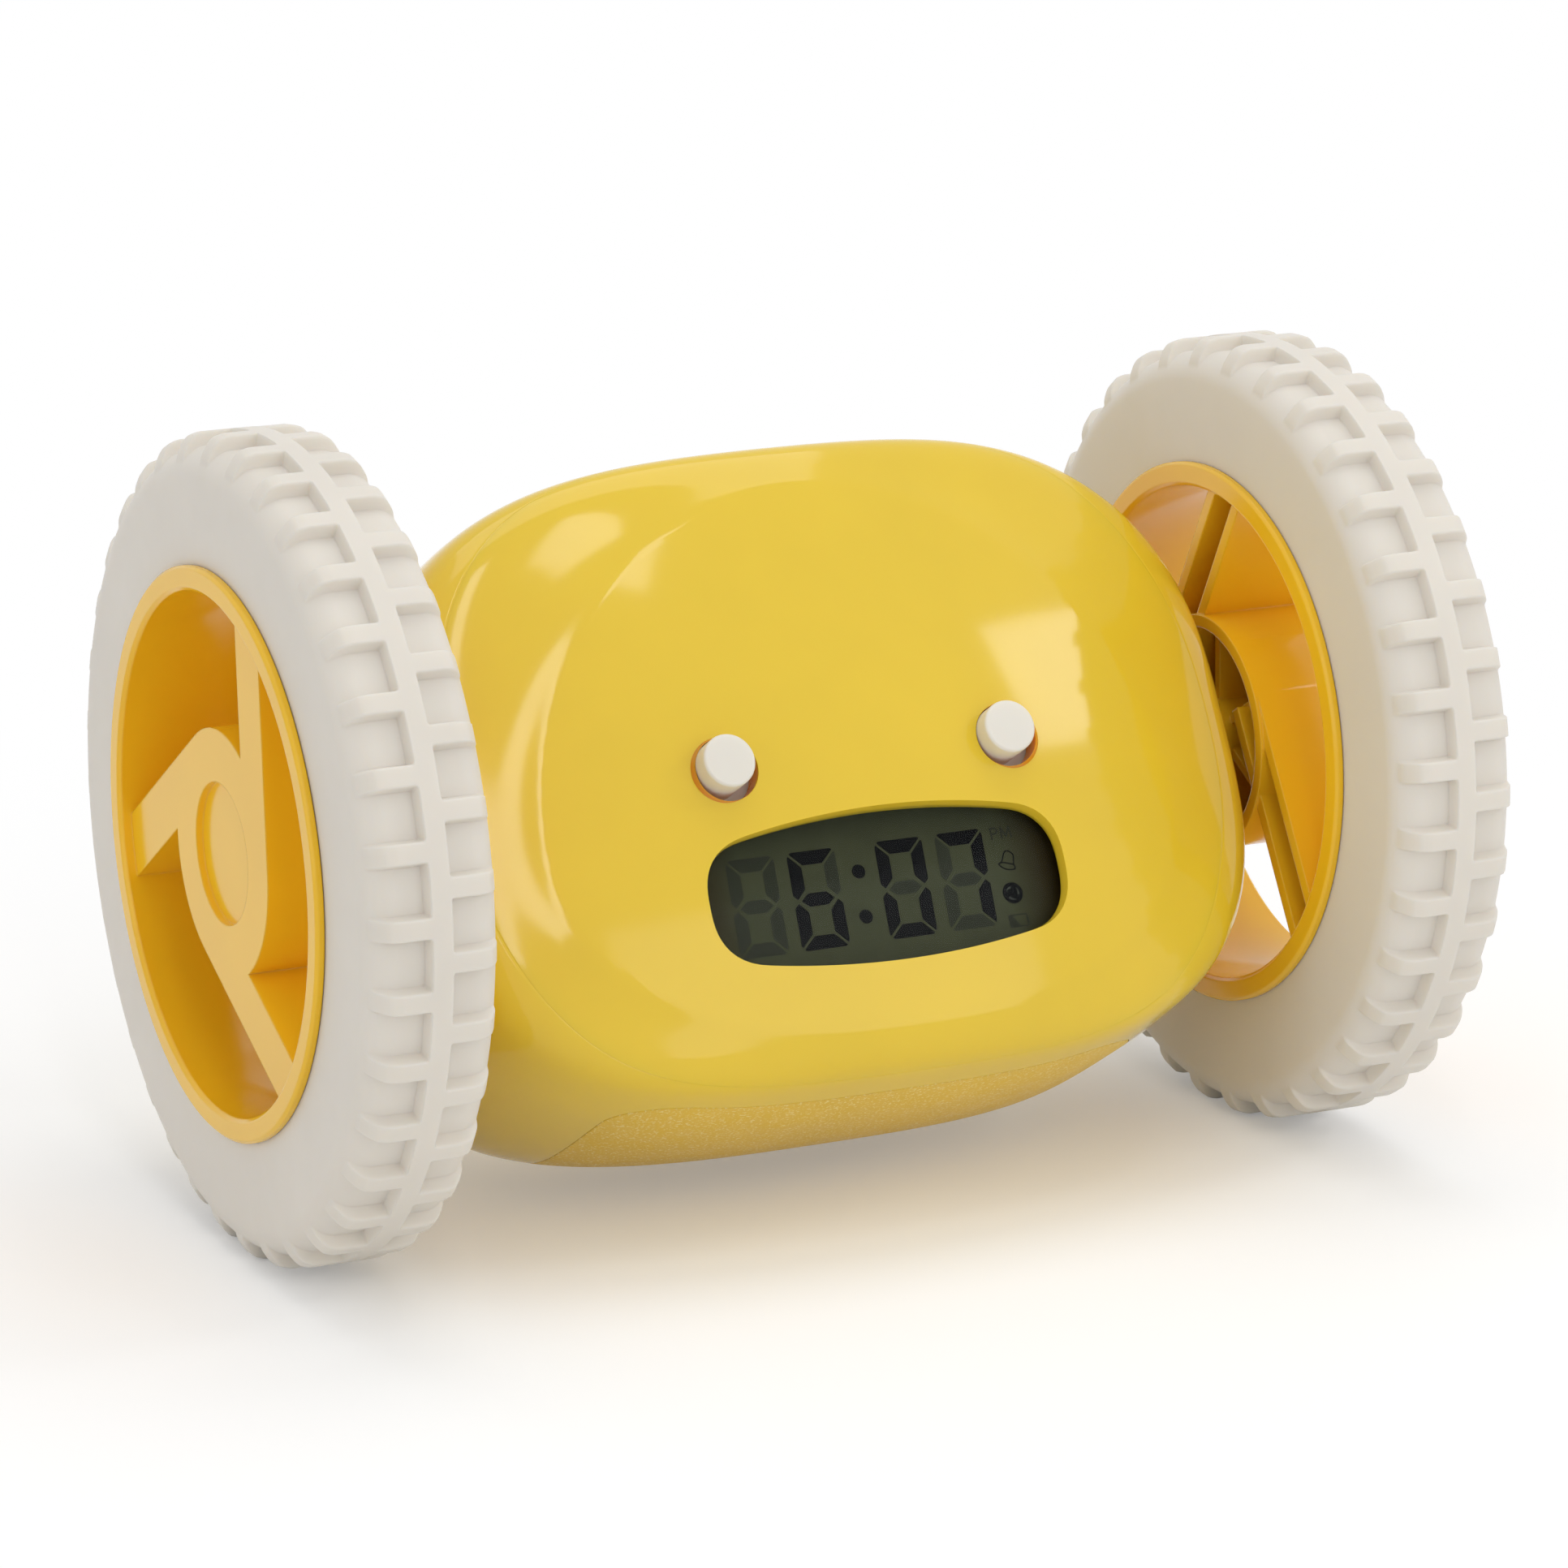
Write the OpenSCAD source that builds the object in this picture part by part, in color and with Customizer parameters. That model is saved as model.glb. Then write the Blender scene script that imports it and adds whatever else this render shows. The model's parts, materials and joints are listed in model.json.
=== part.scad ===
/* [Body] */
// half width of the egg-shaped body across the two wheels, mm
half_w = 48.88; // [47.5:0.02:48.88]
// half height of the body form before the top and bottom are rounded, mm
half_h = 36.21; // [35.5:0.01:36.5]
// half depth of the body form behind its widest line, mm
half_d_rear = 39.6; // [38.5:0.1:40]
// radius about the axle that the body keeps inside, mm
body_clear_r = 40.32; // [39.8:0.02:40.6]
// distance from the axle to the middle of the domed front face, mm
face_n = 20.45; // [20:0.05:21]
// radius of the domed front face, mm
face_r = 185.5; // [150:0.5:220]
// how squarely the body corners are rounded seen from the side
box_power = 3.643; // [3.4:0.001:3.9]
// how squarely the body ends are rounded seen from above
end_power = 2.882; // [2.8:0.001:3]
// thickness of the moulded shells, mm
wall = 2.2; // [2:0.1:2.4]
// angle by which the face leans back from upright, degrees
lean = 31.43; // [28:0.01:34]
// distance from the axle to the joint between front and rear shell, mm
seam_n = 13.5; // [13.3:0.1:13.7]

/* [Wheels] */
// outside diameter of the tyre over the lugs, mm
tyre_d = 87; // [85:0.5:89]
// outside diameter of the rim lips, mm
rim_d = 60; // [59:0.5:61]
// width of the rim over both lips, mm
rim_w = 16.1; // [15.9:0.1:16.5]
// distance from the middle of the clock to the outer lip of a rim, mm
lip_x = 66.3; // [66.3:0.1:67]
// height of the lugs and the middle rib above the tread floor, mm
lug_h = 1.5; // [1:0.1:2]
// number of lugs along each edge of the tread
lugs = 36; // [30:1:40]
// diameter of the hub face the three spokes leave from, mm
hub_d = 26.2; // [25:0.2:27]
// width of one spoke, mm
spoke_w = 6.3; // [5.5:0.1:7]
// turn of the right wheel, degrees
right_turn = 118; // [0:1:359]
// turn of the left wheel, degrees
left_turn = 93.6; // [0:0.1:359.9]

/* [Gear train] */
// width of every gear, mm
gear_w = 2.6; // [2.2:0.1:2.6]
// play between meshing teeth, mm
backlash = 0.12; // [0.1:0.01:0.16]
// radius of a wheel axle, mm
axle_r = 1.5; // [1.4:0.05:1.5]
// running clearance between a turning part and its bore, mm
run_gap = 0.05; // [0.03:0.01:0.08]

/* [Batteries] */
// diameter of one cell, mm
cell_d = 10.5; // [10.1:0.1:10.5]
// length of one cell, mm
cell_l = 44.5; // [44:0.1:44.5]
// distance from the axle to the middle of each cell, mm
cell_at = 28.8; // [28.6:0.1:28.8]

/* [Display and buttons] */
// half width of the display window, mm
window_hw = 20.5; // [20:0.1:20.8]
// height of the top edge of the window below the axle, mm
window_top = 8.9; // [8.7:0.1:9.3]
// height of the bottom edge of the window below the axle, mm
window_bottom = 25; // [24.8:0.1:25.2]
// depth of the window pane below the face, mm
window_recess = 1.2; // [1:0.1:1.3]
// distance of each eye button from the middle, mm
eye_x = 16.3; // [15.8:0.1:16.8]
// height of the eye buttons relative to the axle, mm
eye_u = -2.5; // [-2.7:0.1:-2.3]
// diameter of the eye buttons, mm
eye_d = 5.75; // [5.5:0.05:6]
// diameter of the holes round the eye buttons, mm
eye_hole_d = 7; // [6.8:0.1:7.2]
// travel of every button, mm
travel = 0.6; // [0.4:0.1:0.6]
// small gap between parts that are fitted together, mm
fit = 0.15; // [0.1:0.01:0.2]

/* [Hidden] */
axle_h = tyre_d/2;
gear_m = 0.5;
big_teeth = 40;
small_teeth = 10;
cells = 4;
half_d = 40.05;
mid_n = -2.92;
mid_u = -1.56;
shoulder = [66.47, 23.58, 65.74];
taper = 0.032;
blend = 25.6;
cols = 60;
mesh_r = gear_m*(big_teeth + small_teeth)/2;
base_x = 26.9;
base_t = 1.5;
layer_x = [base_x + base_t + 0.3, base_x + base_t + 3.3, base_x + base_t + 6.3];
cover_x = layer_x[2] + gear_w + 0.3;
cover_t = 1.6;
web_x = base_x - 0.2 - 1.2;
idler_2_at = mesh_r*[cos(-30), sin(-30)];
idler_1_at = mesh_r*[cos(30), sin(30)];
motor_at = mesh_r*[0, 1];
case_r = gear_m*big_teeth/2 + gear_m + 0.4;
case_wall = 1.2;
ear_at = [[-9.9, -9.9], [17.8, 18.4], [20.7, -16.1]];
mid_x = lip_x - rim_w/2;
lip_t = 0.9;
seat_r = rim_d/2 - 1.2;
hub_r = hub_d/2;
plate_x = lip_x - 1.4;
tread_r = tyre_d/2 - lug_h;
tyre_hw = rim_w/2 - lip_t;
cell_step = 2*asin((cell_d + 0.56)/2/cell_at);
cell_first = 86;
cell_a = [for (i = [0:cells - 1]) cell_first + i*cell_step];
tray_hw = web_x - 0.25;
tray_front = 7.95;
door_hw = 30.8;
door_front = 9;
door_end = 172;
door_screw_a = 168;
board_n = 9.4;
board_t = 1.6;
board_f = board_n + board_t;
glass_n = 14.8;
glass_t = 1.8;
glass_hw = window_hw + 1.7;
glass_top = 1.3 - window_top;
glass_bottom = -window_bottom - 1.3;
post_at = [[20, 26.2], [34.3, -23.3]];
post_r = 2.9;
post_top = 9;
pane_r = 167;
pane_c = [0, pane_r - 19.9, -1.5];
key_at = [[-18.5, 2], [-18.5, 11], [18.5, 2], [18.5, 11]];
key_top = [-40.3, -39.1];
key_d = 5.2;
key_base = -29.4;
key_flange = -34.6;
speaker_u = 9;
speaker_r = 10;
speaker_n = -32.6;
yellow = [0.87, 0.72, 0.22];
orange = [0.85, 0.6, 0.12];
white = [0.92, 0.9, 0.87];
steel = [0.7, 0.7, 0.72];
brass = [0.8, 0.65, 0.3];
green = [0.1, 0.35, 0.2];
dark = [0.12, 0.12, 0.13];

// ---- shape of the body, measured from a point near its middle ----
// distance from the middle of the body to its skin in direction d = [across, forward, up]
function skin(d) =
  let (s = norm(d), x = abs(d[0]/s), n = d[1]/s, u = d[2]/s,
       dep = n > 0 ? half_d : half_d_rear,
       rho = pow(pow(abs(n/dep), box_power) + pow(abs(u/half_h), box_power), 1/box_power),
       egg = pow(pow(x/half_w, end_power) + pow(rho, end_power), -1/end_power),
       cap = n > 0 ? norm([max(0, x + taper*u)/shoulder[0], n/shoulder[1], u/shoulder[2]]) : 0,
       a = max(n*n + u*u, 1e-9),
       b = mid_n*n + mid_u*u,
       c = mid_n*mid_n + mid_u*mid_u - body_clear_r*body_clear_r,
       drum = (-b + sqrt(b*b - a*c))/a,
       hull_r = pow(pow(egg, -blend) + pow(cap, blend) + pow(drum, -blend), -1/blend),
       f = face_n - mid_n - face_r,
       dome = f*n + sqrt(face_r*face_r - f*f + f*f*n*n))
  pow(pow(hull_r, -blend) + pow(dome, -blend), -1/blend);

function ray(al, be) = [sin(al)*cos(be), cos(al), sin(al)*sin(be)];

// skin point at angle al from straight ahead and be round that line, t below the surface
function skin_pt(al, be, t) =
  let (d = ray(al, be), r = skin(d) - t) [d[0]*r, -(d[1]*r + mid_n), d[2]*r + mid_u];

// angle at which the skin crosses the joint plane between the shells
function seam_al(be, t, lo = 20, hi = 89, k = 18) =
  k == 0 ? (lo + hi)/2 :
  let (m = (lo + hi)/2, d = ray(m, be))
  (skin(d) - t)*cos(m) > seam_n - mid_n ? seam_al(be, t, m, hi, k - 1) : seam_al(be, t, lo, m, k - 1);

// distance from the axle line to the skin at x across and angle a below straight ahead
function skin_at(x, a, t, lo = 10, hi = 60, k = 16) =
  k == 0 ? (lo + hi)/2 :
  let (m = (lo + hi)/2, d = [x, m*cos(a) - mid_n, -m*sin(a) - mid_u])
  norm(d) < skin(d) - t ? skin_at(x, a, t, m, hi, k - 1) : skin_at(x, a, t, lo, m, k - 1);

// ---- frames ----
// body frame: x across, -y ahead of the face, z up the face, origin on the axle
module in_body() translate([0, 0, axle_h]) rotate([-lean, 0, 0]) children();

// local z along the axle, local x to the back, local y up
module along(x) translate([x, 0, 0]) rotate([90, 0, 90]) children();

module on_side(s) mirror([s < 0 ? 1 : 0, 0, 0]) children();

// local z straight ahead of the face, local x across, local y up the face
module ahead(n) translate([0, -n, 0]) rotate([90, 0, 0]) children();

// local z away from the axle at angle a below straight ahead
module outward(a) rotate([a + 90, 0, 0]) children();

module rod(r, a, b) translate([0, 0, a]) cylinder(r = r, h = b - a, $fn = 48);

module tube(r, ri, a, b) difference() {
  rod(r, a, b);
  rod(ri, a - 1, b + 1);
}

module block(x0, x1, y0, y1, z0, z1) translate([x0, y0, z0]) cube([x1 - x0, y1 - y0, z1 - z0]);

module soft_rect(x0, x1, y0, y1, r) {
  translate([x0 + r, y0]) square([x1 - x0 - 2*r, y1 - y0]);
  translate([x0, y0 + r]) square([x1 - x0, y1 - y0 - 2*r]);
  for (x = [x0 + r, x1 - r], y = [y0 + r, y1 - r]) translate([x, y]) circle(r, $fn = 32);
}

// ---- shells ----
// faces between two skins given as rows of cols points, closed at the pole and at the joint
module bowl(pole, rows) {
  edge = [for (t = [0, wall]) [for (j = [0:cols - 1]) seam_al(360*j/cols, t)]];
  ring = [for (s = [0, 1], i = [1:rows], j = [0:cols - 1])
          skin_pt(pole + (edge[s][j] - pole)*i/rows, 360*j/cols, s*wall)];
  m = rows*cols;
  pts = concat(ring, [skin_pt(pole, 0, 0), skin_pt(pole, 0, wall)]);
  out = [for (i = [0:rows - 2], j = [0:cols - 1], h = [0, 1])
         let (a = i*cols + j, b = i*cols + (j + 1)%cols)
         h == 0 ? [a, b, b + cols] : [a, b + cols, a + cols]];
  inn = [for (f = out) [f[0] + m, f[2] + m, f[1] + m]];
  cap = [for (j = [0:cols - 1], s = [0, 1])
         s == 0 ? [2*m, (j + 1)%cols, j] : [2*m + 1, m + j, m + (j + 1)%cols]];
  rim = [for (j = [0:cols - 1], h = [0, 1])
         let (a = m - cols + j, b = m - cols + (j + 1)%cols)
         h == 0 ? [a, b, b + m] : [a, b + m, a + m]];
  all = concat(out, inn, cap, rim);
  polyhedron(pts, pole == 180 ? [for (f = all) [f[0], f[2], f[1]]] : all);
}

// solid inside the rear skin, t below it, used to trim what stands on the wall
module rear_core(t, rows) {
  edge = [for (j = [0:cols - 1]) seam_al(360*j/cols, t)];
  ring = [for (i = [1:rows], j = [0:cols - 1]) skin_pt(180 + (edge[j] - 180)*i/rows, 360*j/cols, t)];
  m = rows*cols;
  pts = concat(ring, [skin_pt(180, 0, t), [0, -seam_n, 0]]);
  out = [for (i = [0:rows - 2], j = [0:cols - 1], h = [0, 1])
         let (a = i*cols + j, b = i*cols + (j + 1)%cols)
         h == 0 ? [a, b, b + cols] : [a, b + cols, a + cols]];
  ends = [for (j = [0:cols - 1], s = [0, 1])
          s == 0 ? [m, (j + 1)%cols, j] : [m + 1, m - cols + j, m - cols + (j + 1)%cols]];
  polyhedron(pts, [for (f = concat(out, ends)) [f[0], f[2], f[1]]]);
}

// curved panel between depths t0 and t1 under the belly
module belly_panel(t0, t1, nx, na) {
  x = [for (i = [0:nx]) -door_hw - 1.5 + (2*door_hw + 3)*i/nx];
  a = [for (j = [0:na]) 70 + (door_end - 68)*j/na];
  pts = [for (t = [t0, t1], j = [0:na], i = [0:nx])
         let (r = skin_at(x[i], a[j], t)) [x[i], -r*cos(a[j]), -r*sin(a[j])]];
  w = nx + 1;
  m = w*(na + 1);
  out = [for (j = [0:na - 1], i = [0:nx - 1], h = [0, 1]) let (k = j*w + i)
         h == 0 ? [k, k + 1, k + 1 + w] : [k, k + 1 + w, k + w]];
  inn = [for (f = out) [f[0] + m, f[2] + m, f[1] + m]];
  sx = [for (j = [0:na - 1], h = [0:3]) let (p = j*w, q = j*w + nx)
        h == 0 ? [p, p + w, p + w + m] : h == 1 ? [p, p + w + m, p + m] :
        h == 2 ? [q, q + w + m, q + w] : [q, q + m, q + w + m]];
  sa = [for (i = [0:nx - 1], h = [0:3]) let (p = i, q = na*w + i)
        h == 0 ? [p, p + 1 + m, p + 1] : h == 1 ? [p, p + m, p + 1 + m] :
        h == 2 ? [q, q + 1, q + 1 + m] : [q, q + 1 + m, q + m]];
  polyhedron(pts, concat(out, inn, sx, sa));
}

// volume the battery door takes up, grown by g
module door_cut(g) intersection() {
  translate([0, 0, -60]) linear_extrude(60) union() {
    translate([-door_hw - g, -door_front - g + 8]) square([2*(door_hw + g), 70]);
    translate([-door_hw - g + 8, -door_front - g]) square([2*(door_hw + g) - 16, 20]);
    for (s = [-1, 1]) translate([s*(door_hw + g - 8), -door_front - g + 8]) circle(8, $fn = 48);
  }
  along(-door_hw - g) linear_extrude(2*(door_hw + g)) polygon([[-30*cos(60), -30*sin(60)],
    [-60*cos(60), -60*sin(60)], [0, -90], [60, -60], [60*cos(180 - door_end - g), -60*sin(180 - door_end - g)],
    [30*cos(180 - door_end - g), -30*sin(180 - door_end - g)], [20, -22], [0, -30]]);
}

// outline of an upright wall that follows the skin at x, set deeper where the door lies over it
function web_line(x) = [for (a = [-128:4:196])
  let (r = skin_at(x, a, a > 68 && a < door_end + 2 ? wall + fit : 0.8)) [-r*cos(a), -r*sin(a)]];

module web() difference() {
  along(web_x) linear_extrude(1.2) intersection() {
    polygon(web_line(web_x + 0.6));
    translate([-8.4, -60]) square([60, 120]);
  }
  along(web_x - 1) linear_extrude(4) translate(motor_at) motor_outline(0.25);
  for (p = peg_at) along(web_x - 1) translate(p) rod(1.2 + fit, 0, 4);
}

// pegs that place the gearbox on the wall beside it
peg_at = [[15, 9], [15, -9], [-5, -6]];

module motor_outline(g) intersection() {
  circle(10 + g, $fn = 64);
  square([15.4 + 2*g, 40], center = true);
}

module window_outline(g) {
  hw = window_hw + g;
  t = -window_top + g;
  b = -window_bottom - g;
  intersection() {
    soft_rect(-hw, hw, b, t, 7.5);
    translate([0, t - 90]) circle(90, $fn = 180);
    translate([0, b + 87]) circle(87, $fn = 180);
  }
}

module front_shell() color(yellow) in_body() difference() {
  union() {
    bowl(0, 14);
    for (s = [-1, 1]) {
      for (p = post_at) translate([s*p[0], 0, p[1]]) ahead(0) rod(post_r, post_top + 0.2, 14.8);
      translate([s*22, 0, 7]) ahead(0) rod(2.1, board_f + fit, 17);
      translate([s*18, 0, -30.3]) ahead(0) rod(1.9, board_f + fit, 15.6);
      translate([s*eye_x, 0, eye_u]) ahead(0) rod(eye_hole_d/2 + 1.2, 17, 17.8);
    }
  }
  for (s = [-1, 1]) {
    translate([s*eye_x, 0, eye_u]) ahead(0) rod(eye_hole_d/2, 12, 24);
    for (p = post_at) translate([s*p[0], 0, p[1]]) ahead(0) rod(1, post_top - 1, 14.2);
    translate([s*22, 0, 7]) ahead(0) rod(0.8, board_f - 1, 15.6);
    translate([s*18, 0, -30.3]) ahead(0) rod(0.8, board_f - 1, 14.6);
  }
  ahead(10) linear_extrude(14) window_outline(0);
  intersection() {
    ahead(10) linear_extrude(14) window_outline(0.75);
    translate(pane_c) sphere(pane_r - window_recess + 0.05, $fn = 400);
  }
}

module rear_shell() color(yellow) in_body() difference() {
  union() {
    bowl(180, 24);
    intersection() {
      union() {
        for (s = [-1, 1]) {
          for (p = post_at) translate([s*p[0], 0, p[1]]) ahead(0) rod(post_r, -45, post_top);
        }
        for (p = key_at) translate([p[0], 0, p[1]]) ahead(0) rod(key_d/2 + 1.3, -45, key_flange - 0.2);
        translate([0, 0, speaker_u]) ahead(0) tube(speaker_r + 1.4, speaker_r + fit, -45, speaker_n + 1.6);
      }
      rear_core(0.6, 18);
    }
    for (s = [-1, 1]) on_side(s) web();
  }
  for (s = [-1, 1]) on_side(s) {
    along(40) rod(3 + fit, 0, 20);
    for (p = post_at) translate([p[0], 0, p[1]]) ahead(0) {
      rod(2.2, -50, 2.6);
      rod(1.3, 2, 12);
      rod(post_r + 0.2, post_top, 15);
    }
  }
  for (p = key_at) translate([p[0], 0, p[1]]) ahead(0) rod(key_d/2 + 0.25, -50, -30);
  translate([0, 0, speaker_u]) ahead(0) {
    rod(0.9, -50, -30);
    for (k = [1, 2], i = [0:6*k - 1]) rotate(i*60/k) translate([3.6*k, 0, 0]) rod(0.9, -50, -34);
  }
  door_cut(fit);
}

module battery_door() color(yellow) in_body() difference() {
  union() {
    intersection() {
      belly_panel(0, wall - 0.2, 20, 26);
      door_cut(0);
    }
    for (s = [-1, 1]) {
      block(s*13 - 3, s*13 + 3, -8.7, -6.2, -36, -32.8);
      block(s*13 - 3, s*13 + 3, -11.6, -6.2, -34, -32.8);
    }
  }
  outward(door_screw_a) {
    rod(1.35, 30, 45);
    rod(2.45, 39.1, 45);
  }
}

module door_screw() color(steel) in_body() outward(door_screw_a) difference() {
  union() {
    rod(2.3, 39.15, 40.1);
    rod(1.1, 30.5, 39.2);
  }
  translate([0, 0, 39.6]) {
    block(-1.5, 1.5, -0.3, 0.3, 0, 2);
    block(-0.3, 0.3, -1.5, 1.5, 0, 2);
  }
}

module screw(r, hr, hh, len) {
  difference() {
    rod(hr, 0, hh);
    for (a = [0, 90]) rotate(a) block(-hr*0.6, hr*0.6, -0.25, 0.25, -1, hh*0.55);
  }
  rod(r, hh - 0.01, hh + len);
}

module shell_screws() color(steel) in_body() {
  for (s = [-1, 1], p = post_at) translate([s*p[0], 0, p[1]]) ahead(1) screw(0.95, 2.05, 1.5, 10.6);
}

module board_screws() color(steel) in_body() {
  for (s = [-1, 1], p = [[22, 7], [18, -30.3]])
    translate([s*p[0], 0, p[1]]) ahead(board_n - 1.15) screw(0.75, 1.5, 1, 5.2);
}

// ---- display ----
module display_window() color([0.6, 0.62, 0.6, 0.5]) in_body() difference() {
  intersection() {
    ahead(10) linear_extrude(14) window_outline(0.75 - fit);
    translate(pane_c) sphere(pane_r - window_recess, $fn = 400);
  }
  translate(pane_c) sphere(pane_r - window_recess - 1, $fn = 400);
}

module lcd_glass() color([0.24, 0.25, 0.18]) in_body() ahead(0) {
  block(-glass_hw, glass_hw, glass_bottom + 0.3, glass_top - 0.3, glass_n - 0.95, glass_n);
  block(-glass_hw, glass_hw, glass_bottom, glass_top, glass_n - glass_t, glass_n - 0.9);
}

module lcd_frame() color(white) in_body() ahead(0) difference() {
  block(-glass_hw - 1.5, glass_hw + 1.5, glass_bottom - 1.3, glass_top + 1.2, board_f + 0.1, glass_n - 0.4);
  block(-glass_hw - fit, glass_hw + fit, glass_bottom - fit, glass_top + fit, board_f - 1, glass_n + 1);
  block(-12, 12, -40, 0, board_f - 1, board_f + 0.9);
}

module zebra_strips() color([0.75, 0.45, 0.5]) in_body() ahead(0) {
  for (u = [glass_bottom + 0.4, glass_top - 2.4])
    block(-18, 18, u, u + 2, board_f + 0.1, glass_n - glass_t - 0.1);
}

module main_board() color(green) in_body() ahead(0) difference() {
  union() {
    translate([0, 0, board_n]) linear_extrude(board_t) intersection() {
      soft_rect(-tray_hw, tray_hw, -32.4, 9.8, 2);
      translate([0, 4]) circle(41, $fn = 96);
    }
    translate([0, -10, board_n - 1.2]) cylinder(r = 5, h = 2, $fn = 48);
    block(-16, -10, -19, -13, board_n - 1.3, board_n + 1);
    for (i = [0:4]) block(9 + 2.6*i, 10.4 + 2.6*i, -14, -11.5, board_n - 0.8, board_n + 1);
    translate([14, -18.4, board_n - 2.2]) cylinder(r = 2.2, h = 3, $fn = 32);
  }
  for (s = [-1, 1], p = [[22, 7], [18, -30.3]]) translate([s*p[0], p[1], 0]) rod(0.95, 0, 20);
}

// ---- buttons ----
eye_flange = 16.6;
switch_top = board_f + 3.5;

module eye_switches() color(dark) in_body() for (s = [-1, 1]) translate([s*eye_x, 0, eye_u]) ahead(0)
  difference() {
    block(-3, 3, -3, 3, board_f + 0.05, switch_top);
    rod(1.6 + run_gap, switch_top - 2, switch_top + 1);
  }

module eye_button(s) color(white) in_body() translate([s*eye_x, 0, eye_u]) ahead(0) {
  rotate_extrude($fn = 64) polygon(concat([[0, eye_flange - 0.9], [4.3, eye_flange - 0.9],
    [4.3, eye_flange], [eye_d/2, eye_flange], [eye_d/2, 21.2]],
    [for (a = [15:15:90]) [eye_d/2 - 0.5 + 0.5*cos(a), 21.2 + 0.5*sin(a)]], [[0, 21.85]]));
}

module eye_stem(s) color(dark) in_body() translate([s*eye_x, 0, eye_u]) ahead(0)
  rod(1.6, switch_top - 1.2, eye_flange - 1);

module left_eye_button() eye_button(-1);
module right_eye_button() eye_button(1);
module left_eye_stem() eye_stem(-1);
module right_eye_stem() eye_stem(1);

module key(i) color(white) in_body() translate([key_at[i][0], 0, key_at[i][1]]) ahead(0) {
  top = key_top[i%2];
  rotate_extrude($fn = 64) polygon([[0, top - 0.1], [key_d/2 - 0.5, top], [key_d/2, top + 0.5],
    [key_d/2, key_flange], [key_d/2 + 0.8, key_flange], [key_d/2 + 0.8, key_flange + 0.8],
    [0, key_flange + 0.8]]);
}

module key_stem(i) color(dark) in_body() translate([key_at[i][0], 0, key_at[i][1]]) ahead(0)
  rod(1.4, key_flange + 0.9, key_base - 1.9);

module hour_button() key(0);
module minute_button() key(1);
module alarm_button() key(2);
module mode_button() key(3);
module hour_stem() key_stem(0);
module minute_stem() key_stem(1);
module alarm_stem() key_stem(2);
module mode_stem() key_stem(3);

module rear_switches() color(dark) in_body() for (p = key_at) translate([p[0], 0, p[1]]) ahead(0)
  difference() {
    block(-3, 3, -3, 3, key_base - 3, key_base - 0.05);
    rod(1.4 + run_gap, key_base - 4, key_base - 1);
  }

module rear_board() color(green) in_body() ahead(0) difference() {
  translate([0, 0, key_base]) linear_extrude(1.6) soft_rect(-tray_hw, tray_hw, -3.3, 21.3, 1.5);
  translate([0, speaker_u, 0]) rod(speaker_r + 0.7, -40, 0);
}

module speaker() color(dark) in_body() translate([0, 0, speaker_u]) ahead(0) rotate_extrude($fn = 96)
  polygon([[0, speaker_n + 1.4], [4.5, speaker_n + 1.6], [8.2, speaker_n + 0.5], [8.8, speaker_n],
    [speaker_r, speaker_n], [speaker_r, speaker_n + 1.4], [7.6, speaker_n + 3.2], [7, speaker_n + 6.2],
    [0, speaker_n + 6.2]]);

// ---- batteries ----
module cell_place(i) translate([0, -cell_at*cos(cell_a[i]), -cell_at*sin(cell_a[i])]) children();

module battery_box() color([0.2, 0.2, 0.21]) in_body() difference() {
  union() {
    along(-tray_hw) linear_extrude(2*tray_hw) intersection() {
      difference() {
        circle(31.5, $fn = 128);
        circle(cell_at - cell_d/2 - 1.2, $fn = 128);
      }
      polygon([[-tray_front, 0], [-tray_front, -50], [60, -50], [60*cos(11), -60*sin(11)]]);
    }
    outward(door_screw_a) rod(2.2, 24, 37.6);
  }
  for (i = [0:cells - 1]) cell_place(i)
    along(-cell_l/2 - 1.4) cylinder(r = cell_d/2 + 0.15, h = cell_l + 2.8, $fn = 64);
  outward(door_screw_a) rod(1.15, 29.5, 40);
}

// flat plate against the raised end of each cell, coil spring against its flat end
module battery_contacts() color(brass) in_body() for (i = [0:cells - 1], s = [-1, 1]) cell_place(i) {
  x = cell_l/2 + 1.35;
  mirror([s < 0 ? 1 : 0, 0, 0]) {
    along(x - 0.35) linear_extrude(0.3) square([7.6, 7.6], center = true);
    if ((i + (s + 1)/2)%2 == 1) along(x - 1.3) rod(2.2, 0, 0.96);
    if ((i + (s + 1)/2)%2 == 0) for (k = [0:3])
      along(x - 1.43 + 0.26*k) tube(1.86 + 0.4*k, 1.3 + 0.4*k, 0, 0.56);
  }
}

module cell(i) color([0.25, 0.3, 0.5]) in_body() cell_place(i)
  mirror([i%2, 0, 0]) along(0) rotate_extrude($fn = 64) polygon([[0, -cell_l/2 + 0.2], [3.6, -cell_l/2 + 0.2],
    [cell_d/2 - 0.5, -cell_l/2 + 0.2], [cell_d/2, -cell_l/2 + 0.7], [cell_d/2, cell_l/2 - 1.5],
    [cell_d/2 - 0.5, cell_l/2 - 1], [1.9, cell_l/2 - 1], [1.9, cell_l/2 - 0.1], [0, cell_l/2 - 0.1]]);

module battery_1() cell(0);
module battery_2() cell(1);
module battery_3() cell(2);
module battery_4() cell(3);

// ---- drive ----
function inv(x) = sqrt(x*x - 1)*180/PI - acos(1/x);

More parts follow.
